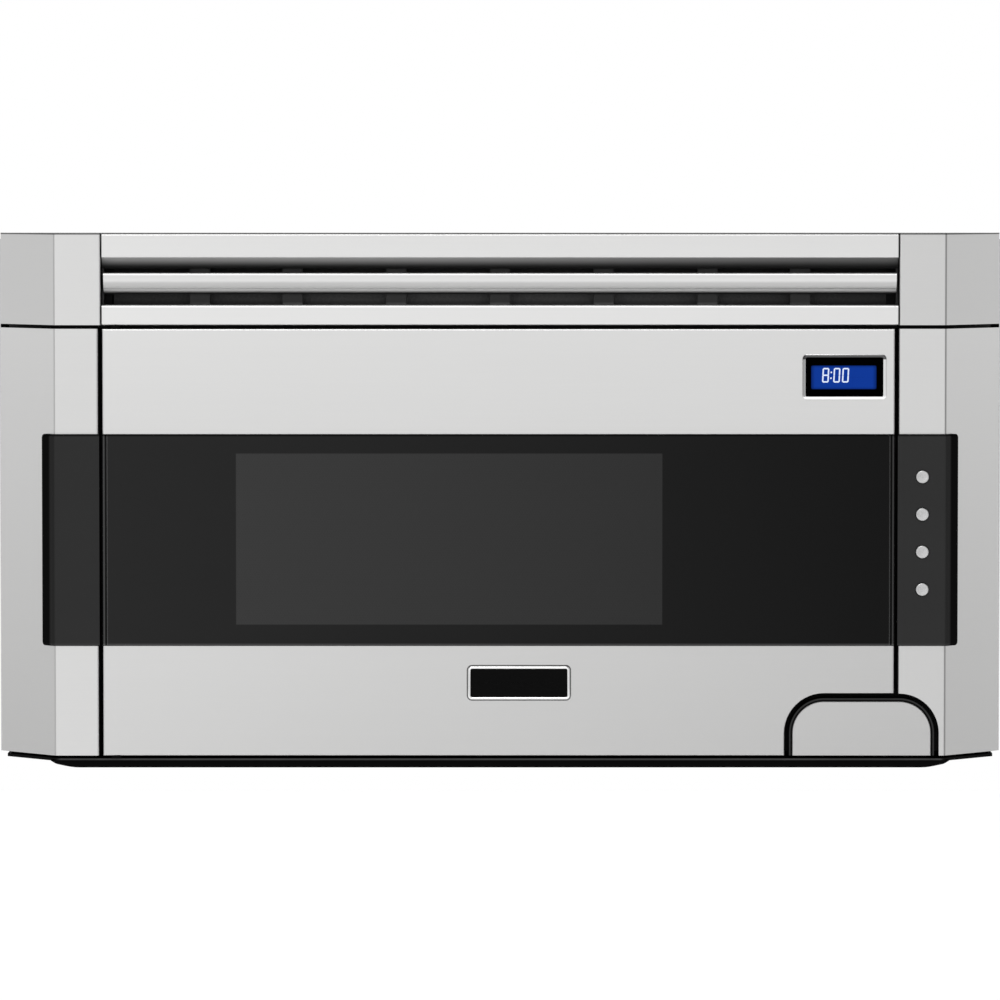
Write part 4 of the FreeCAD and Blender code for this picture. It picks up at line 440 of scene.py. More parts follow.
def black_glass(name, ink, painted_light_drift=0.0, window_ink=None):
    """Pane over black print, wiped clean by hand: the wipe marks change the roughness and a little of the
    tone. Painted light makes the print lighter by painted_light_drift per metre to the left, and painted
    shade darkens it on the flank. The ground rim is matt black as painted shade, with a painted highlight
    line above the lower edge, and a pane with a window has painted highlight and painted shade lines
    beside its ends as well."""
    pane = Finish(name, Specular_IOR_Level=0.13, IOR=1.5)
    wiped = pane.cloud(WIPE_MARK)
    specks = pane.cells(0.004).step(0.02, 0.05, 1.0, 0.0)
    tone = (ink - painted_light_drift * pane.x) * (0.94 + 0.12 * wiped) + 0.003 * specks
    # Painted shade darkens the print beyond the fold, on the flank.
    tone = tone * abs(pane.x).step(FOLD_X - 0.001, FOLD_X + 0.003, 1.0, 0.25)
    above = pane.z - glass_low.z
    below = glass_high.z - pane.z
    # The matt black rim is painted shade along the edges and beyond the flank.
    rim = below.step(0.0010, 0.0020, 0.75, 0.0) + above.step(0.0004, 0.0008, 0.6, 0.0)
    rim = rim + abs(pane.x).step(FOLD_X + 0.0030, FOLD_X + 0.0050, 0.0, 0.9)
    # Painted highlight: a paler line just above the lower edge.
    tone = tone + above.between(0.0008, 0.0016, PRINT_SOFT) * (0.040 if window_ink else 0.012)
    if window_ink:
        window = pane.x.between(*WINDOW_X, PRINT_SOFT) * pane.z.between(*WINDOW_Z, PRINT_SOFT)
        holes = row_of_dots(pane.x, pane.z, HOLE_PITCH, 0.0006)
        # The window's tone is lighter to the left as painted light; the screen's holes darken it a little.
        tone = tone + window * (window_ink - 0.012 * pane.x) * (1.0 - 0.10 * holes)
        from_end = (pane.x - glass_low.x).maths("MINIMUM", glass_high.x - pane.x)
        # Beside each end of the window pane: two painted highlight lines with a line of painted shade
        # between.
        tone = tone + from_end.between(0.0004, 0.0013, PRINT_SOFT) * 0.035
        tone = tone + from_end.between(0.0029, 0.0036, PRINT_SOFT) * 0.060
        rim = rim + from_end.between(0.0018, 0.0027, PRINT_SOFT) * 0.7
    pane.set(Base_Color=tone, Roughness=0.05 + 0.05 * wiped)
    pane.matt(rim.maths("MINIMUM", 1.0), 0.002)
    return pane.material


FINISHES["black_glass"] = black_glass("black_glass_with_window", 0.0055, 0.0177, 0.0170)
FINISHES["band_glass"] = black_glass("black_glass_column", 0.018, -0.003)
print("window", WINDOW_X, WINDOW_Z, "glass", [round(v, 4) for v in (*glass_low, *glass_high)])

# %% [markdown]
# Chrome trim is plated plastic: nearly a mirror, with faint waves from the mould. The push buttons are
# turned aluminium with a satin face.

# %% Bright trim, nameplate and buttons
def chrome(name, shade=None):
    """Plated trim; shade, where given, takes the finish and hands back a factor of painted shade for the
    tone.
    """
    trim = Finish(name, Metallic=1.0)
    waves = trim.cloud(0.006, 2.0)
    tone = 0.80 + 0.08 * waves
    if shade:
        tone = tone * shade(trim)
    trim.set(Base_Color=tone, Roughness=0.07 + 0.05 * waves)
    trim.relief(waves, 0.00003, 0.3)
    return trim


FINISHES["bright_trim"] = chrome("bright_chrome_trim").material

plate = Finish("black_enamel_plate", Specular_IOR_Level=0.03)
pebble = plate.cells(0.0009)
plate.set(Base_Color=0.0012 + 0.002 * pebble, Roughness=0.28 + 0.2 * pebble)
plate.relief(pebble, 0.00006, 0.4)
FINISHES["nameplate"] = plate.material

button_face = Finish("satin_aluminium_button", Metallic=1.0)
satin = button_face.cloud((0.0006, 0.004, 0.0006), 2.0)
button_face.set(Base_Color=0.38 + 0.24 * satin, Roughness=0.22 + 0.16 * satin)
button_face.relief(satin, 0.00006, 0.5)
FINISHES["button"] = button_face.material

lens = Finish("dark_display_lens", Specular_IOR_Level=0.0)
haze = lens.cloud(0.01, 2.0)
lens.set(Base_Color=0.0002 + 0.0003 * haze, Roughness=0.12 + 0.08 * haze)
FINISHES["display"] = lens.material
print("finishes with the trim", len(FINISHES))

# %% [markdown]
# The case is black powder paint over sheet steel. Powder paint melts into a skin with a shallow
# orange-peel texture, so a fine noise pushes the surface up and down and a coarse one changes its tone.

# %% Painted sheet
CUT_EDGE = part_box("case_wrap")[0].y + 0.0006
PAN_EDGE = (-0.0038, -0.0026)
EDGE_SOFT = 0.0002


def powder_paint(name, gloss, tone=0.004, bare_before=None, highlight_band=None):
    """Black powder paint with orange peel; in front of bare_before the sheet's cut edge is bare metal, and
    between the two heights of highlight_band the front edge gets a grey painted highlight."""
    paint = Finish(name, Specular_IOR_Level=gloss)
    peel = paint.cloud(0.0022, 2.0)
    coarse = paint.cloud(0.05)
    colour = tone + tone * coarse
    if bare_before:
        bare = paint.y.step(bare_before - EDGE_SOFT, bare_before + EDGE_SOFT, 1.0, 0.0)
        colour = colour * (1.0 - bare) + (0.50 + 0.1 * peel) * bare
        paint.set(Metallic=bare)
    if highlight_band:
        # Painted highlight along the front edge of the pan.
        painted_highlight = paint.z.between(*highlight_band, EDGE_SOFT)
        painted_highlight = painted_highlight * abs(paint.x).step(FOLD_X - 0.004, FOLD_X, 1.0, 0.0)
        colour = colour + (0.030 + 0.040 * coarse) * painted_highlight
    paint.set(Base_Color=colour, Roughness=0.34 + 0.12 * peel)
    paint.relief(peel, 0.00012, 0.35)
    return paint.material


FINISHES["case_paint"] = powder_paint("black_powder_paint", 0.27, bare_before=CUT_EDGE)
pan_paint = powder_paint("black_pan_enamel", 0.03, 0.0010, highlight_band=PAN_EDGE)
frame_paint = powder_paint("black_frame_paint", 0.18)
hinge_paint = powder_paint("black_hinge_paint", 0.03, 0.0012)

screen_paint = Finish("black_painted_screen", Specular_IOR_Level=0.2)
punched = row_of_dots(screen_paint.x, screen_paint.z, HOLE_PITCH, 0.0007)
screen_paint.set(Base_Color=0.012 - 0.010 * punched, Roughness=0.42 + 0.3 * punched)
screen_paint.relief(1.0 - punched, 0.0004, 0.6)
print("bare edge in front of", round(CUT_EDGE, 4))

# %% [markdown]
# The sheet at the back and inside is galvanised, and its zinc crystals show as pale and dark flakes: a
# Voronoi pattern, where every cell has a tone of its own. The oven's inside is fired enamel with specks.

# %% Galvanised and enamelled sheet
zinc = Finish("galvanised_sheet", Metallic=1.0)
flake = zinc.place.add("ShaderNodeSeparateColor", {}, {0: zinc.cells(0.007, out=1)})
frost = zinc.cloud(0.0015)
stain = zinc.cloud((0.20, 0.20, 0.06))
zinc.set(Base_Color=0.44 + 0.045 * flake + 0.04 * frost + 0.05 * stain,
         Roughness=0.36 + 0.07 * flake + 0.06 * frost)
zinc.relief(frost, 0.00004, 0.3)
FINISHES["zinc"] = zinc.material

enamel = Finish("speckled_grey_enamel", Coat_Weight=0.3)
speck = enamel.cells(0.006).step(0.10, 0.16, 1.0, 0.0)
mottle = enamel.cloud(0.02, 4.0)
enamel.set(Base_Color=0.40 + 0.06 * mottle - 0.22 * speck, Roughness=0.26 + 0.1 * mottle)
enamel.relief(mottle, 0.0001, 0.2)
FINISHES["enamel"] = enamel.material
print("finishes with the sheet", len(FINISHES))

# %% [markdown]
# Moulded plastics carry a spark-eroded grain from the mould, which is a Voronoi pattern a fraction of a
# millimetre wide. The black one is used for the door's inner cover, the latch and the fans, and the
# white one for the turntable's roller ring. The pad's rim is black too, with a painted highlight along a
# crest that follows its arch: the distance from the arch's edge is a radius at the corners and a straight
# distance elsewhere.

# %% Plastics and the pad's rim
MOULD_GRAIN = 0.0007
PAD_CORNER = 0.0266
PAD_CREST = (0.0003, 0.0013)
pad_low, pad_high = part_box("open_pad")


def moulded_plastic(name, tone, gloss):
    """Plastic with the fine grain of a spark-eroded mould."""
    part = Finish(name, Specular_IOR_Level=0.4)
    grain = part.cells(MOULD_GRAIN)
    flow = part.cloud(0.03)
    part.set(Base_Color=tone * (0.85 + 0.2 * grain + 0.15 * flow), Roughness=gloss + 0.15 * grain)
    part.relief(grain, 0.00008, 0.35)
    return part.material


FINISHES["black_plastic"] = moulded_plastic("black_moulded_plastic", 0.010, 0.34)
FINISHES["white_plastic"] = moulded_plastic("white_moulded_plastic", 0.72, 0.30)

pad_rim = Finish("black_pad_rim", Specular_IOR_Level=0.04)
rim_grain = pad_rim.cells(MOULD_GRAIN)
straight = (pad_high.x - pad_low.x) / 2 - PAD_CORNER
across = (abs(pad_rim.x - (pad_low.x + pad_high.x) / 2) - straight).maths("MAXIMUM", 0.0)
upward = (pad_rim.z - (pad_high.z - PAD_CORNER)).maths("MAXIMUM", 0.0)
from_edge = PAD_CORNER - (across * across + upward * upward) ** 0.5
# Painted highlight along the rim's crest.
crest_highlight = from_edge.between(*PAD_CREST, 0.0003) * (0.8 + 0.4 * rim_grain)
pad_rim.set(Base_Color=0.0015 + 0.026 * crest_highlight, Roughness=0.40 + 0.15 * rim_grain)
pad_rim.relief(rim_grain, 0.00008, 0.35)
print("finishes with the plastics", len(FINISHES))

# %% [markdown]
# Behind the vent lies a charcoal filter, a honeycomb with painted shade towards its ends, along its lowest
# row and under the upper slot. The grease filters below are bright aluminium gauze over darker packed layers.

# %% Board and filters
board = Finish("green_circuit_board")
tracks = board.cells((0.004, 0.004, 0.009)).step(0.32, 0.36)
board.set(Base_Color=board.colours(tracks, (0.012, 0.075, 0.03), (0.03, 0.16, 0.06)),
          Roughness=0.35 + 0.2 * tracks)
board.relief(tracks, 0.00006, 0.5)
FINISHES["board"] = board.material

carbon = Finish("charcoal_honeycomb", Specular_IOR_Level=0.2)
honey = row_of_dots(carbon.x, carbon.z, 0.0042, 0.0017)
grit = carbon.cloud(0.001)
# Painted shade: darker towards the ends, along the lowest row and under the upper slot.
shade = abs(carbon.x).step(0.05, 0.30, 1.0, 0.55)
shade = shade * carbon.z.step(LOWER_BAND + 0.001, LOWER_BAND + 0.004, 0.6, 1.0)
shade = shade * carbon.z.step(LOWER_BAND + 0.014, LOWER_BAND + 0.027, 1.0, 0.35)
carbon.set(Base_Color=(0.112 - 0.009 * honey + 0.014 * grit) * shade, Roughness=0.7 + 0.2 * grit)
carbon.relief(1.0 - honey, 0.0006, 0.25)
FINISHES["charcoal"] = carbon.material

gauze = Finish("aluminium_filter_gauze", Metallic=1.0)
dulled = gauze.cloud(0.002)
gauze.set(Base_Color=0.56 + 0.16 * dulled, Roughness=0.30 + 0.2 * dulled)
gauze.relief(dulled, 0.0002, 0.3)
FINISHES["filter_mesh"] = gauze.material

packed = Finish("packed_filter_layers", Metallic=0.8)
crossing = packed.cells((0.006, 0.0025, 0.006))
packed.set(Base_Color=0.03 + 0.16 * crossing, Roughness=0.5 + 0.2 * crossing)
packed.relief(crossing, 0.0008, 0.7)
print("finishes with the filters", len(FINISHES))

# %% [markdown]
# What is left is seen only when the door is open, or not at all: the glass tray and lamp lenses, the mica
# sheet over the waveguide, and the iron and cast parts of the power side. They still get real finishes,
# because the part may be opened or cut away by whoever uses it. The floor is a one-way sheet: white from
# above and clear from below, so that the filters and lamps can be looked at from underneath.

# %% Glass, mica, iron, castings and floor
clear = Finish("clear_moulded_glass", Transmission_Weight=1.0, IOR=1.5)
ripple = clear.cloud(0.02, 2.0)
clear.set(Base_Color=clear.colours(ripple, (0.93, 0.97, 0.95), (0.97, 0.99, 0.98)),
          Roughness=0.02 + 0.05 * ripple)
clear.relief(ripple, 0.0002, 0.15)
FINISHES["clear_glass"] = clear.material

mica = Finish("flaky_mica_sheet", Specular_IOR_Level=0.6)
layers = mica.cloud((0.02, 0.02, 0.004), 5.0)
mica.set(Base_Color=mica.colours(layers, (0.30, 0.22, 0.13), (0.52, 0.43, 0.30)),
         Roughness=0.3 + 0.25 * layers)
mica.relief(layers, 0.0001, 0.4)
FINISHES["mica"] = mica.material

iron = Finish("varnished_laminated_iron", Metallic=0.7)
sheets = (iron.z / 0.0007).maths("SINE") * 0.5 + 0.5
soot = iron.cloud(0.01, 4.0)
iron.set(Base_Color=0.10 + 0.05 * soot + 0.05 * sheets, Roughness=0.4 + 0.25 * soot)
iron.relief(sheets, 0.0001, 0.5)
FINISHES["iron"] = iron.material

cast = Finish("sand_blasted_aluminium", Metallic=1.0)
blast = cast.cloud(0.0012, 4.0)
cast.set(Base_Color=0.48 + 0.15 * blast, Roughness=0.38 + 0.2 * blast)
cast.relief(blast, 0.0001, 0.5)
FINISHES["cast_aluminium"] = cast.material

ground = Finish("pale_studio_floor")
dust = ground.cloud(0.6, 4.0)
ground.set(Base_Color=0.94 + 0.03 * dust, Roughness=0.75 + 0.1 * dust)
underneath = ground.place.add("ShaderNodeNewGeometry", out="Backfacing")
ground.other_shader(underneath, ground.place.add("ShaderNodeBsdfTransparent"))
floor.data.materials.append(ground.material)
print("finishes in all", len(FINISHES))

# %% [markdown]
# The packed record says which finish each node is made of, so a short loop hands them out. Sheets that
# the eye compares side by side get their own copy of the steel: a slightly different tone, as sheets from
# different coils have, and their own painted gradient of light and shade.

# %% Give every node its finish
def dress(node, material):
    """Puts the material into the node's slots without touching its mesh."""
    thing = frame["nodes"][node]
    if not thing.material_slots:
        thing.data.materials.append(material)
    for place in thing.material_slots:
        place.material = material


SPECIAL = {"vent_grille": vent_steel, "grille_louvre": louvre_steel, "left_front_panel": column_steel,
           "right_front_panel": column_steel, "top_caps": cap_steel, "base_pan": pan_paint,
           "front_frame": frame_paint, "door_hinges": hinge_paint, "door_frame": frame_paint,
           "door_screen": screen_paint.material, "open_pad": pad_rim.material,
           "grease_filters": packed.material}
for row in frame["record"]["subparts"]:
    dress(row["node"], SPECIAL.get(row["node"], FINISHES[row["material_slot"]]))

# %% [markdown]
# Trim is often a frame: one small profile carried round a rectangle with round corners. The corner points
# only need a centre and a direction, and a profile point that lies further out just uses a larger radius.
# A grid of points that closes on itself both ways is a closed piece, and the sign of its volume tells
# whether its faces look outwards.

# %% Frames: a profile round a rectangle
TINY = 0.00001


def frame_round(centre, half, corner, profile, turns=8):
    """Point = corner centre + (corner radius + profile offset) times the direction of turn, at the profile's
    depth in Y. Where the radius would fall below zero, the corner centre moves inwards instead. Straight
    sides come from joining one corner's last point to the next one's first."""
    angle = np.linspace(0, np.pi / 2, turns)
    quarter = np.arange(4)[:, None] * np.pi / 2
    turn = (quarter + angle[None, :]).reshape(-1)
    sign_x = np.repeat([1, -1, -1, 1], turns)
    sign_z = np.repeat([1, 1, -1, -1], turns)
    offset, depth = np.asarray(profile, float).T
    radius = np.maximum(corner + offset, TINY)
    shrink = np.minimum(corner + offset, 0.0)
    x = centre[0] + sign_x[:, None] * (half[0] - corner + shrink) + np.cos(turn)[:, None] * radius
    z = centre[1] + sign_z[:, None] * (half[1] - corner + shrink) + np.sin(turn)[:, None] * radius
    return np.stack([x, np.broadcast_to(depth, x.shape), z], -1)


def front_of(low, high):
    """Middle and half size, across and up, of the front of a box."""
    return ((low.x + high.x) / 2, (low.z + high.z) / 2), ((high.x - low.x) / 2, (high.z - low.z) / 2)


def facing_out(points, faces):
    """Turns all quads over if the closed mesh they make has a negative volume."""
    a, b, c, d = np.moveaxis(points.reshape(-1, 3)[faces], 1, 0)
    volume = (a * (np.cross(b, c) + np.cross(c, d))).sum()
    return faces if volume > 0 else faces[:, ::-1]


def closed_piece(name, points, smooth=True):
    """Piece from a grid that closes on itself in both directions."""
    faces = grid_faces(*points.shape[:2], close_rows=True, close_columns=True)
    return mesh_from(name, points, facing_out(points, faces), smooth)


def fit_out(piece, body, material):
    """Dresses a new piece and lets it ride on its body."""
    piece.data.materials.append(material)
    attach(piece, body)
    return piece


PANE_PROUD = 0.002
door_face = glass_low.y + PANE_PROUD
print("trim stands on the door's face at", round(door_face, 4))

# %% [markdown]
# The chrome frame around the display has a rounded crest at its outer edge and slopes inwards to the lens.
# Plated trim this narrow shows one tone on each side, and the colour stands in for it: painted shade on
# the slope under the top strip and on the left strip, and a painted white reflection on the sill, the one
# strip that is painted matt.

# %% Display frame
STRIP_PEAK, STRIP_WIDTH = 0.0007, 0.0028
BEZEL_CORNER = 0.0038
bezel_low, bezel_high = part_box("display_bezel")
lens_low, lens_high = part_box("display_lens")


def crest(peak, width, back, front, sink, steps=6):
    """Closed profile of a trim strip: outer wall, round crest at peak, straight slope to the inner edge."""
    arc = np.linspace(0, np.pi / 2, steps)
    rise = np.stack([peak * (np.cos(arc) - 1), back + (front - back) * np.sin(arc)], -1)
    slope = np.stack([np.linspace(-peak, -width, 5)[1:], np.linspace(front, sink, 5)[1:]], -1)
    return np.concatenate([rise, slope, [[-width, back]]])


def frame_shade(trim):
    """Painted shade: the slope under the top strip is dark, and the left strip is greyer than the right one.
    """
    top = trim.z.between(bezel_high.z - 0.0040, bezel_high.z - STRIP_PEAK, EDGE_SOFT)
    left = trim.x.step(bezel_low.x + 0.0022, bezel_low.x + 0.0027, 0.45, 0.0)
    return (1.0 - 0.88 * top) * (1.0 - left)


strip = crest(STRIP_PEAK, STRIP_WIDTH, door_face, bezel_low.y, lens_low.y + 0.0001)
bezel_points = frame_round(*front_of(bezel_low, bezel_high), BEZEL_CORNER, strip)
bezel = closed_piece("display_frame", bezel_points)
frame_trim = chrome("chrome_display_frame", frame_shade)
# The sill is painted matt near white: a painted reflection.
frame_trim.matt(frame_trim.z.between(bezel_low.z + 0.0004, bezel_low.z + 0.0023, EDGE_SOFT), 0.93)
fit_out(bezel, "door", frame_trim.material)
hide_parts("display_bezel")
print("display frame", bezel_points.shape)

# %% [markdown]
# The nameplate is bare: a chrome bead on a foot darkened as a painted shadow, round a black field with a
# fine pebble. The bead uses the same frame maths with a half-round profile, and the field is a pillow, whose
# profile runs on to the middle.

# %% Nameplate
BEAD_FROM_EDGE, BEAD_HALF, BEAD_RISE = 0.0020, 0.0011, 0.0012
FOOT_RISE = 0.0008
FIELD_FROM_EDGE, FIELD_RISE = 0.0028, 0.0010
PLATE_CORNER = 0.0040


def pillow(centre, half, front, back, rim=0.0004):
    """Rounded rectangle as nested loops: each loop shrinks by a share of the rim while it comes forward."""
    to_middle = TINY - half[1]
    profile = [(to_middle, back), (0.0, back), (0.0, front + rim), (-0.3 * rim, front + 0.3 * rim),
               (-rim, front), (to_middle, front)]
    return frame_round(centre, half, half[1] * 0.08 + 0.0004, profile, 5)


def bead_shade(trim):
    """The bead keeps its tone and the foot it stands on is darkened: a painted contact shadow."""
    return trim.y.step(door_face - FOOT_RISE, door_face - 0.0006, 1.0, 0.22)


plate_centre, plate_half = front_of(*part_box("nameplate"))
bow = np.linspace(0, np.pi, 9)
bead = np.stack([BEAD_HALF * np.cos(bow) - BEAD_FROM_EDGE, -FOOT_RISE - BEAD_RISE * np.sin(bow)], -1)
foot = [[0.0, 0.0], [-0.0002, -0.0003], [BEAD_HALF - BEAD_FROM_EDGE, -0.0005]]
bead = np.concatenate([foot, bead, [[-BEAD_FROM_EDGE - BEAD_HALF, 0.0]]]) + [0.0, door_face]
bead_piece = closed_piece("nameplate_bead", frame_round(plate_centre, plate_half, PLATE_CORNER, bead))
fit_out(bead_piece, "door", chrome("chrome_nameplate_bead", bead_shade).material)
field_half = [side - FIELD_FROM_EDGE for side in plate_half]
field_points = pillow(plate_centre, field_half, door_face - FIELD_RISE, door_face)
field_piece = closed_piece("nameplate_field", field_points, smooth=False)
fit_out(field_piece, "door", FINISHES["nameplate"])
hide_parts("nameplate")
print("nameplate", [round(1000 * v, 1) for v in plate_half])

# %% [markdown]
# A push button is a turned part: one profile from the middle of its face to the end of its stem, spun round
# its axis. The CAD button has the same sizes with sharp corners; the turned one has a rounded edge and a
# face that is dished by a fifth of a millimetre, which is what catches the light at the rim. A pole is
# just a point of the profile with almost no radius, and welding closes it.

# %% Turned push buttons
CAP_R, CAP_EDGE, STEM_R = 0.0049, 0.0009, 0.0025
WELD_REACH = 0.00002


def spun(profile, spokes):
    """Every profile point (r, along) on every spoke: r cos t, r sin t and along."""
    r, along = np.asarray(profile, float).T
    t = np.linspace(0, 2 * np.pi, spokes, endpoint=False)[:, None]
    return r * np.cos(t), r * np.sin(t), np.broadcast_to(along, (spokes, len(r)))


def weld(piece):
    """Joins points closer together than the reach, which closes poles and pointed ends."""
    shape = bmesh.new()
    shape.from_mesh(piece.data)
    bmesh.ops.remove_doubles(shape, verts=shape.verts, dist=WELD_REACH)
    shape.to_mesh(piece.data)
    shape.free()
    return piece


def turned_piece(name, points):
    """Piece from spokes of points, closed round its axis and at both poles."""
    faces = grid_faces(*points.shape[:2], close_rows=True)
    return weld(mesh_from(name, points, facing_out(points, faces)))


edge = np.linspace(np.pi / 2, 0, 6)
dish = [(TINY, 0.00022), (0.0020, 0.00018), (0.0036, 0.00006)]
cap_rim = np.stack([CAP_R - CAP_EDGE + CAP_EDGE * np.cos(edge), CAP_EDGE - CAP_EDGE * np.sin(edge)], -1)
for name in ("button_1", "button_2", "button_3", "button_4"):
    low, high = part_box(name)
    (centre_x, centre_z), (flange_r, _) = front_of(low, high)
    long = high.y - low.y
    stem = [(CAP_R, 0.0033), (flange_r, 0.0035), (flange_r, 0.0050), (STEM_R, 0.0052),
            (STEM_R, long - 0.0003), (STEM_R - 0.0003, long), (TINY, long)]
    x, z, y = spun(np.concatenate([dish, cap_rim, stem]), 40)
    knob = turned_piece(name + "_turned", np.stack([centre_x + x, low.y + y, centre_z + z], -1))
    fit_out(knob, name, FINISHES["button"])
    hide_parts(name)
print("last button at", [round(1000 * v, 1) for v in low], "cap radius", CAP_R)

# %% [markdown]
# Behind the dark lens glows a small blue panel, with a clock in slanted seven-bar figures. The panel is a
# pillow with a flat face. Each lit bar is a spindle: a square section that swells quickly from a point, so
# one formula gives every bar, and a table says which bars each figure uses.

# %% Lit panel
PANEL_HALF = (0.0247, 0.0090)
lens_centre = front_of(lens_low, lens_high)[0]
PANEL_X, PANEL_Z = lens_centre[0] - 0.0005, lens_centre[1] - 0.0003
PANEL_FRONT = lens_low.y - 0.00012

panel_points = pillow((PANEL_X, PANEL_Z), PANEL_HALF, PANEL_FRONT, lens_low.y + 0.0008)
panel_piece = closed_piece("lit_clock_panel", panel_points, smooth=False)
lit = Finish("blue_backlight", Specular_IOR_Level=0.0, Roughness=0.3, Emission_Strength=1.0)
edge_x = abs(lit.x - PANEL_X).step(PANEL_HALF[0] - 0.0035, PANEL_HALF[0], 1.0, 0.45)
edge_z = abs(lit.z - PANEL_Z).step(PANEL_HALF[1] - 0.0022, PANEL_HALF[1], 1.0, 0.55)
scan = (lit.x / 0.00012).maths("SINE") * 0.02
glow_level = edge_x * edge_z * (0.92 + 0.16 * lit.cloud(0.008, 2.0) + scan)
lit.set(Emission_Color=lit.colours(glow_level, (0.0008, 0.004, 0.03), (0.0036, 0.036, 0.290)),
        Base_Color=lit.colours(glow_level, (0.001, 0.002, 0.006), (0.002, 0.004, 0.012)))
fit_out(panel_piece, "door", lit.material)
print("panel", panel_points.shape)

# %% [markdown]
# The figures lie on the panel as thin bars that glow. All bars are gathered into one mesh, each turned to
# face out before its point numbers are moved past those of the bars before it.

# %% Clock figures
SLANT = 0.05
FIGURE_Z = PANEL_Z + 0.0016
FIGURE_HALF, FIGURE_RISE = 0.0020, 0.0050
BAR_HALF, BAR_EXTRA, BAR_PROUD = 0.00052, 0.0002, 0.0001
COLON_X, COLON_RISE, COLON_LONG, COLON_HALF = -0.0097, 0.0022, 0.0008, 0.00062
FIGURES = {"8": "abcdefg", "0": "abcdef"}
CLOCK = (("8", -0.0138), ("0", -0.0054), ("0", 0.0012))
BARS = {"a": (0, 1, False), "g": (0, 0, False), "d": (0, -1, False), "b": (1, 0.5, True),
        "c": (1, -0.5, True), "f": (-1, 0.5, True), "e": (-1, -0.5, True)}


def spindle(from_panel, upright, half_length, half_width, chamfer=0.00004):
    """Bar with pointed ends: half-width = min(w, distance to the end), carried along and then sheared."""
    front = PANEL_FRONT - BAR_PROUD
    taper = 1.0 - half_width / half_length
    u = np.array([-1.0, -taper, 0.0, taper, 1.0]) * half_length
    swell = np.array([0.0, 1.0, 1.0, 1.0, 0.0]) * half_width
    across = swell[:, None] * np.array([-1, -0.8, 0.8, 1, 1, -1])
    depth = np.array([front + chamfer, front, front, front + chamfer, PANEL_FRONT, PANEL_FRONT])
    lengthwise = np.broadcast_to(u[:, None], across.shape)
    x, z = (across, lengthwise) if upright else (lengthwise, across)
    z = z + from_panel[1] + FIGURE_Z
    x = x + from_panel[0] + PANEL_X + SLANT * (z - PANEL_Z)
    return np.stack([x, np.broadcast_to(depth, x.shape), z], -1)


def gathered(shapes):
    """Points and faces of several closed shapes as one pair of arrays."""
    points = [shape.reshape(-1, 3) for shape, _ in shapes]
    starts = np.cumsum([0] + [len(shape) for shape in points[:-1]])
    faces = [facing_out(*pair) + start for pair, start in zip(shapes, starts)]
    return np.concatenate(points), np.concatenate(faces)


bars = []
for figure, figure_x in CLOCK:
    for side, rise, upright in (BARS[letter] for letter in FIGURES[figure]):
        from_panel = (figure_x + side * FIGURE_HALF, rise * FIGURE_RISE)
        half_length = (FIGURE_RISE / 2 if upright else FIGURE_HALF) + BAR_EXTRA
        bars.append(spindle(from_panel, upright, half_length, BAR_HALF))
bars += [spindle((COLON_X, rise), True, COLON_LONG, COLON_HALF) for rise in (-COLON_RISE, COLON_RISE)]
clock_mesh = gathered([(bar, grid_faces(*bar.shape[:2], close_columns=True)) for bar in bars])
clock = weld(mesh_from("clock_figures", *clock_mesh, smooth=False))
figures = Finish("pale_lit_figures", Specular_IOR_Level=0.1, Roughness=0.4, Emission_Strength=1.0)
bloom = figures.cloud(0.002, 2.0)
figures.set(Emission_Color=figures.colours(bloom, (0.62, 0.74, 0.98), (0.86, 0.91, 1.0)),
            Base_Color=figures.colours(bloom, (0.02, 0.02, 0.03), (0.03, 0.03, 0.04)))
fit_out(clock, "door", figures.material)
print("clock bars", len(bars))

# %% [markdown]
# The grease filters underneath are layers of expanded aluminium: a sheet is slit and pulled open, so that
# each strand snakes and touches its neighbours at every half wave. An image with holes would look flat from
# the side, so the front layer is made of real strands, and the CAD block stands for the layers behind it.

# %% Expanded mesh of the grease filters
FILTER_FROM_MIDDLE = 0.0150
FILTER_RIM = 0.0064
STRANDS = 24
STRAND_HALF = 0.0006
WAVE = 0.0125
TOUCH = 1.03  # neighbours stay apart by a hair
filter_low, filter_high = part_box("grease_filters")
pan_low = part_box("base_pan")[0]


def expanded_mesh(x0, x1, y0, y1, low, high, steps=161):
    """Strand k runs along x at y = row k + a sin(2 pi x / wave + k pi), and a is just under half the row
    pitch, so that neighbours all but meet. Each strand is a flat bar, closed at both ends."""
    strand = np.arange(STRANDS)[:, None]
    pitch = (y1 - y0) / STRANDS
    x = np.linspace(x0, x1, steps)
    snake = (pitch / 2 - TOUCH * STRAND_HALF) * np.sin(2 * np.pi * (x - x0) / WAVE + np.pi * strand)
    middle = y0 + pitch * (strand + 0.5) + snake
    y = middle[..., None] + np.array([-1, 1, 1, -1]) * STRAND_HALF
    z = np.broadcast_to([low, low, high, high], y.shape)
    points = np.stack([np.broadcast_to(x[:, None], y.shape), y, z], -1)
    first = np.arange(4)
    ends = np.array([first, first[::-1] + 4 * (steps - 1)])
    bar = np.concatenate([grid_faces(steps, 4, close_columns=True), ends])
    faces = bar + 4 * steps * strand[..., None]
    return points, faces.reshape(-1, 4)


for side, name in ((-1, "left"), (1, "right")):
    ends = sorted((side * (FILTER_FROM_MIDDLE + FILTER_RIM), side * (filter_high.x - FILTER_RIM)))
    points, faces = expanded_mesh(*ends, filter_low.y + FILTER_RIM, filter_high.y - FILTER_RIM,
                                  pan_low.z + 0.0002, filter_low.z - 0.0001)
    mesh_piece = mesh_from("expanded_mesh_" + name, points, facing_out(points, faces), smooth=False)
    fit_out(mesh_piece, "chassis", FINISHES["filter_mesh"])
print("filter strands", 2 * STRANDS, "faces", 2 * len(faces))

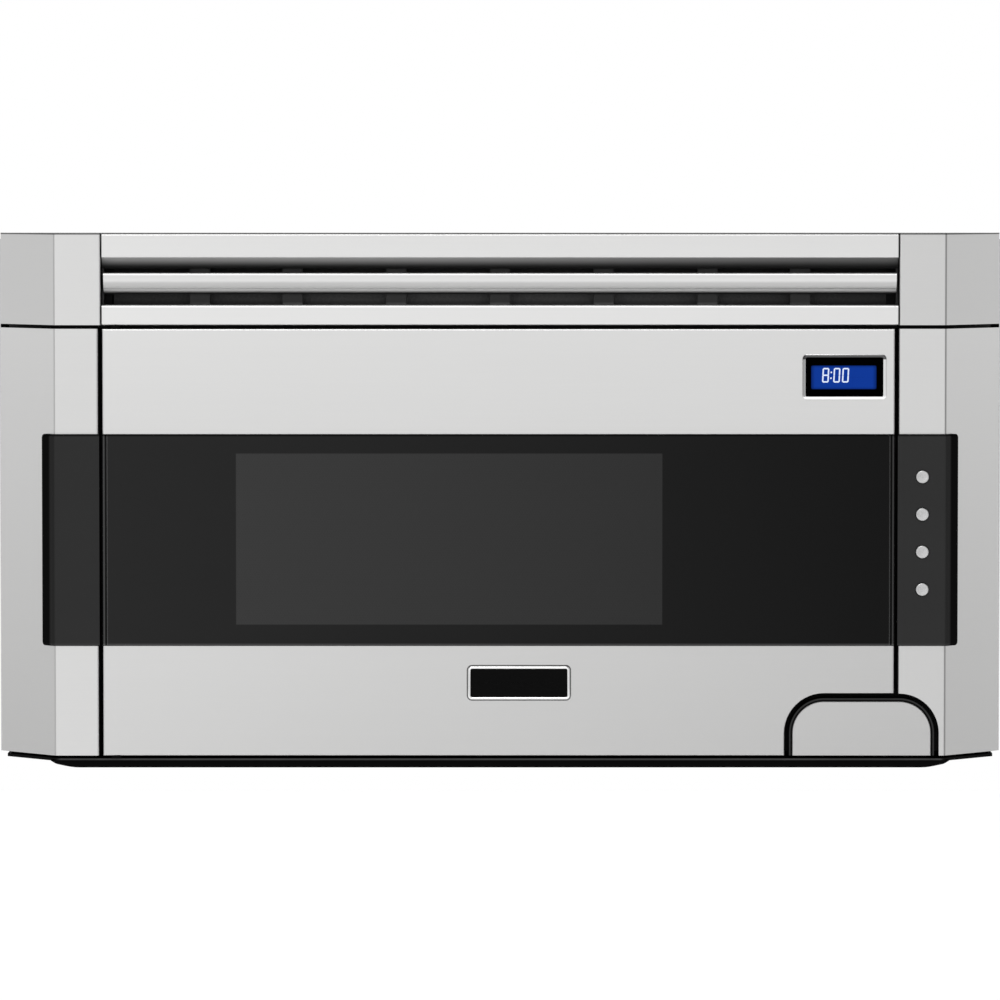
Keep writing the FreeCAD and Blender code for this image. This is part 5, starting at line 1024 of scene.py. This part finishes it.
# %% [markdown]
# The two lenses under the hood lamps are pressed glass with ribs on the inside, which spread the light. A rib
# is a wave across the pane, so a pane is two rows of points over its depth, the plain lower face and the
# ribbed upper one, pulled out along its length.

# %% Ribbed lamp lenses
LENS_WIDTH = 0.1096
RIB_WAVE, RIB_HEIGHT, RIB_FADE = 0.0040, 0.0009, 0.004
lamp_low, lamp_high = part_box("lamp_lenses")


def ribbed_pane(x0, x1, low, high, steps=97):
    """Ring over y: lower face flat, upper face = top - height * (1 - cos(2 pi y / wave)) / 2, dying out at
    the two edges. The ring is pulled from x0 to x1, and quads between the two faces close the ends."""
    y = np.linspace(low.y, high.y, steps)
    fade = np.clip(np.minimum(y - low.y, high.y - y) / RIB_FADE, 0, 1)
    top = high.z - RIB_HEIGHT * fade * (1 - np.cos(2 * np.pi * (y - low.y) / RIB_WAVE)) / 2
    ring_y = np.concatenate([y, y[::-1]])
    ring_z = np.concatenate([np.full(steps, low.z), top[::-1]])
    points = np.stack([np.stack([np.full(2 * steps, x), ring_y, ring_z], -1) for x in (x0, x1)])
    i = np.arange(steps - 1)
    end = np.stack([i, i + 1, 2 * steps - 2 - i, 2 * steps - 1 - i], -1)
    faces = np.concatenate([grid_faces(2, 2 * steps, close_columns=True), end, end[:, ::-1] + 2 * steps])
    return points, faces


lens_ends = (lamp_low.x, lamp_high.x - LENS_WIDTH)
panes = [ribbed_pane(x0, x0 + LENS_WIDTH, lamp_low, lamp_high) for x0 in lens_ends]
lens_piece = mesh_from("ribbed_lamp_lenses", *gathered(panes), smooth=False)
fit_out(lens_piece, "chassis", FINISHES["clear_glass"])
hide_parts("lamp_lenses")
print("lens faces", len(lens_piece.data.polygons))

# %% [markdown]
# The glass tray is pressed in a mould and turns on a ring of rollers. Its rim is rolled and its floor carries
# three raised rings, each a small bell curve over the radius, so it is one profile spun round the
# turntable's axis.

# %% Glass tray
TRAY_THICK = 0.0050
TRAY_SLOPE = 0.0185
RING_RADII = np.array([0.045, 0.085, 0.122])
RING_HALF, RING_RISE = 0.0016, 0.0007
ROLL_R = 0.0026
tray_low, tray_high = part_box("glass_tray")
tray_r = (tray_high.x - tray_low.x) / 2
tray_centre = (tray_low + tray_high) / 2
floor_r = np.linspace(TINY, tray_r - TRAY_SLOPE, 61)
rings = np.exp(-((floor_r[:, None] - RING_RADII) / RING_HALF) ** 2).sum(1)
upper = np.stack([floor_r, tray_low.z + TRAY_THICK + RING_RISE * rings], -1)
roll = np.linspace(np.pi, -np.pi / 6, 12)
rolled = np.stack([tray_r - ROLL_R + ROLL_R * np.cos(roll), tray_high.z - ROLL_R + ROLL_R * np.sin(roll)], -1)
under = [(tray_r - 0.0086, tray_low.z + 0.0007), (tray_r - 0.0100, tray_low.z), (0.0001, tray_low.z),
         (TINY, tray_low.z)]
x, y, z = spun(np.concatenate([upper, rolled, under]), 120)
tray = turned_piece("moulded_glass_tray", np.stack([tray_centre.x + x, tray_centre.y + y, z], -1))
fit_out(tray, "turntable", FINISHES["clear_glass"])
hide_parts("glass_tray")
print("tray radius", round(tray_r, 4), "faces", len(tray.data.polygons))

# %% [markdown]
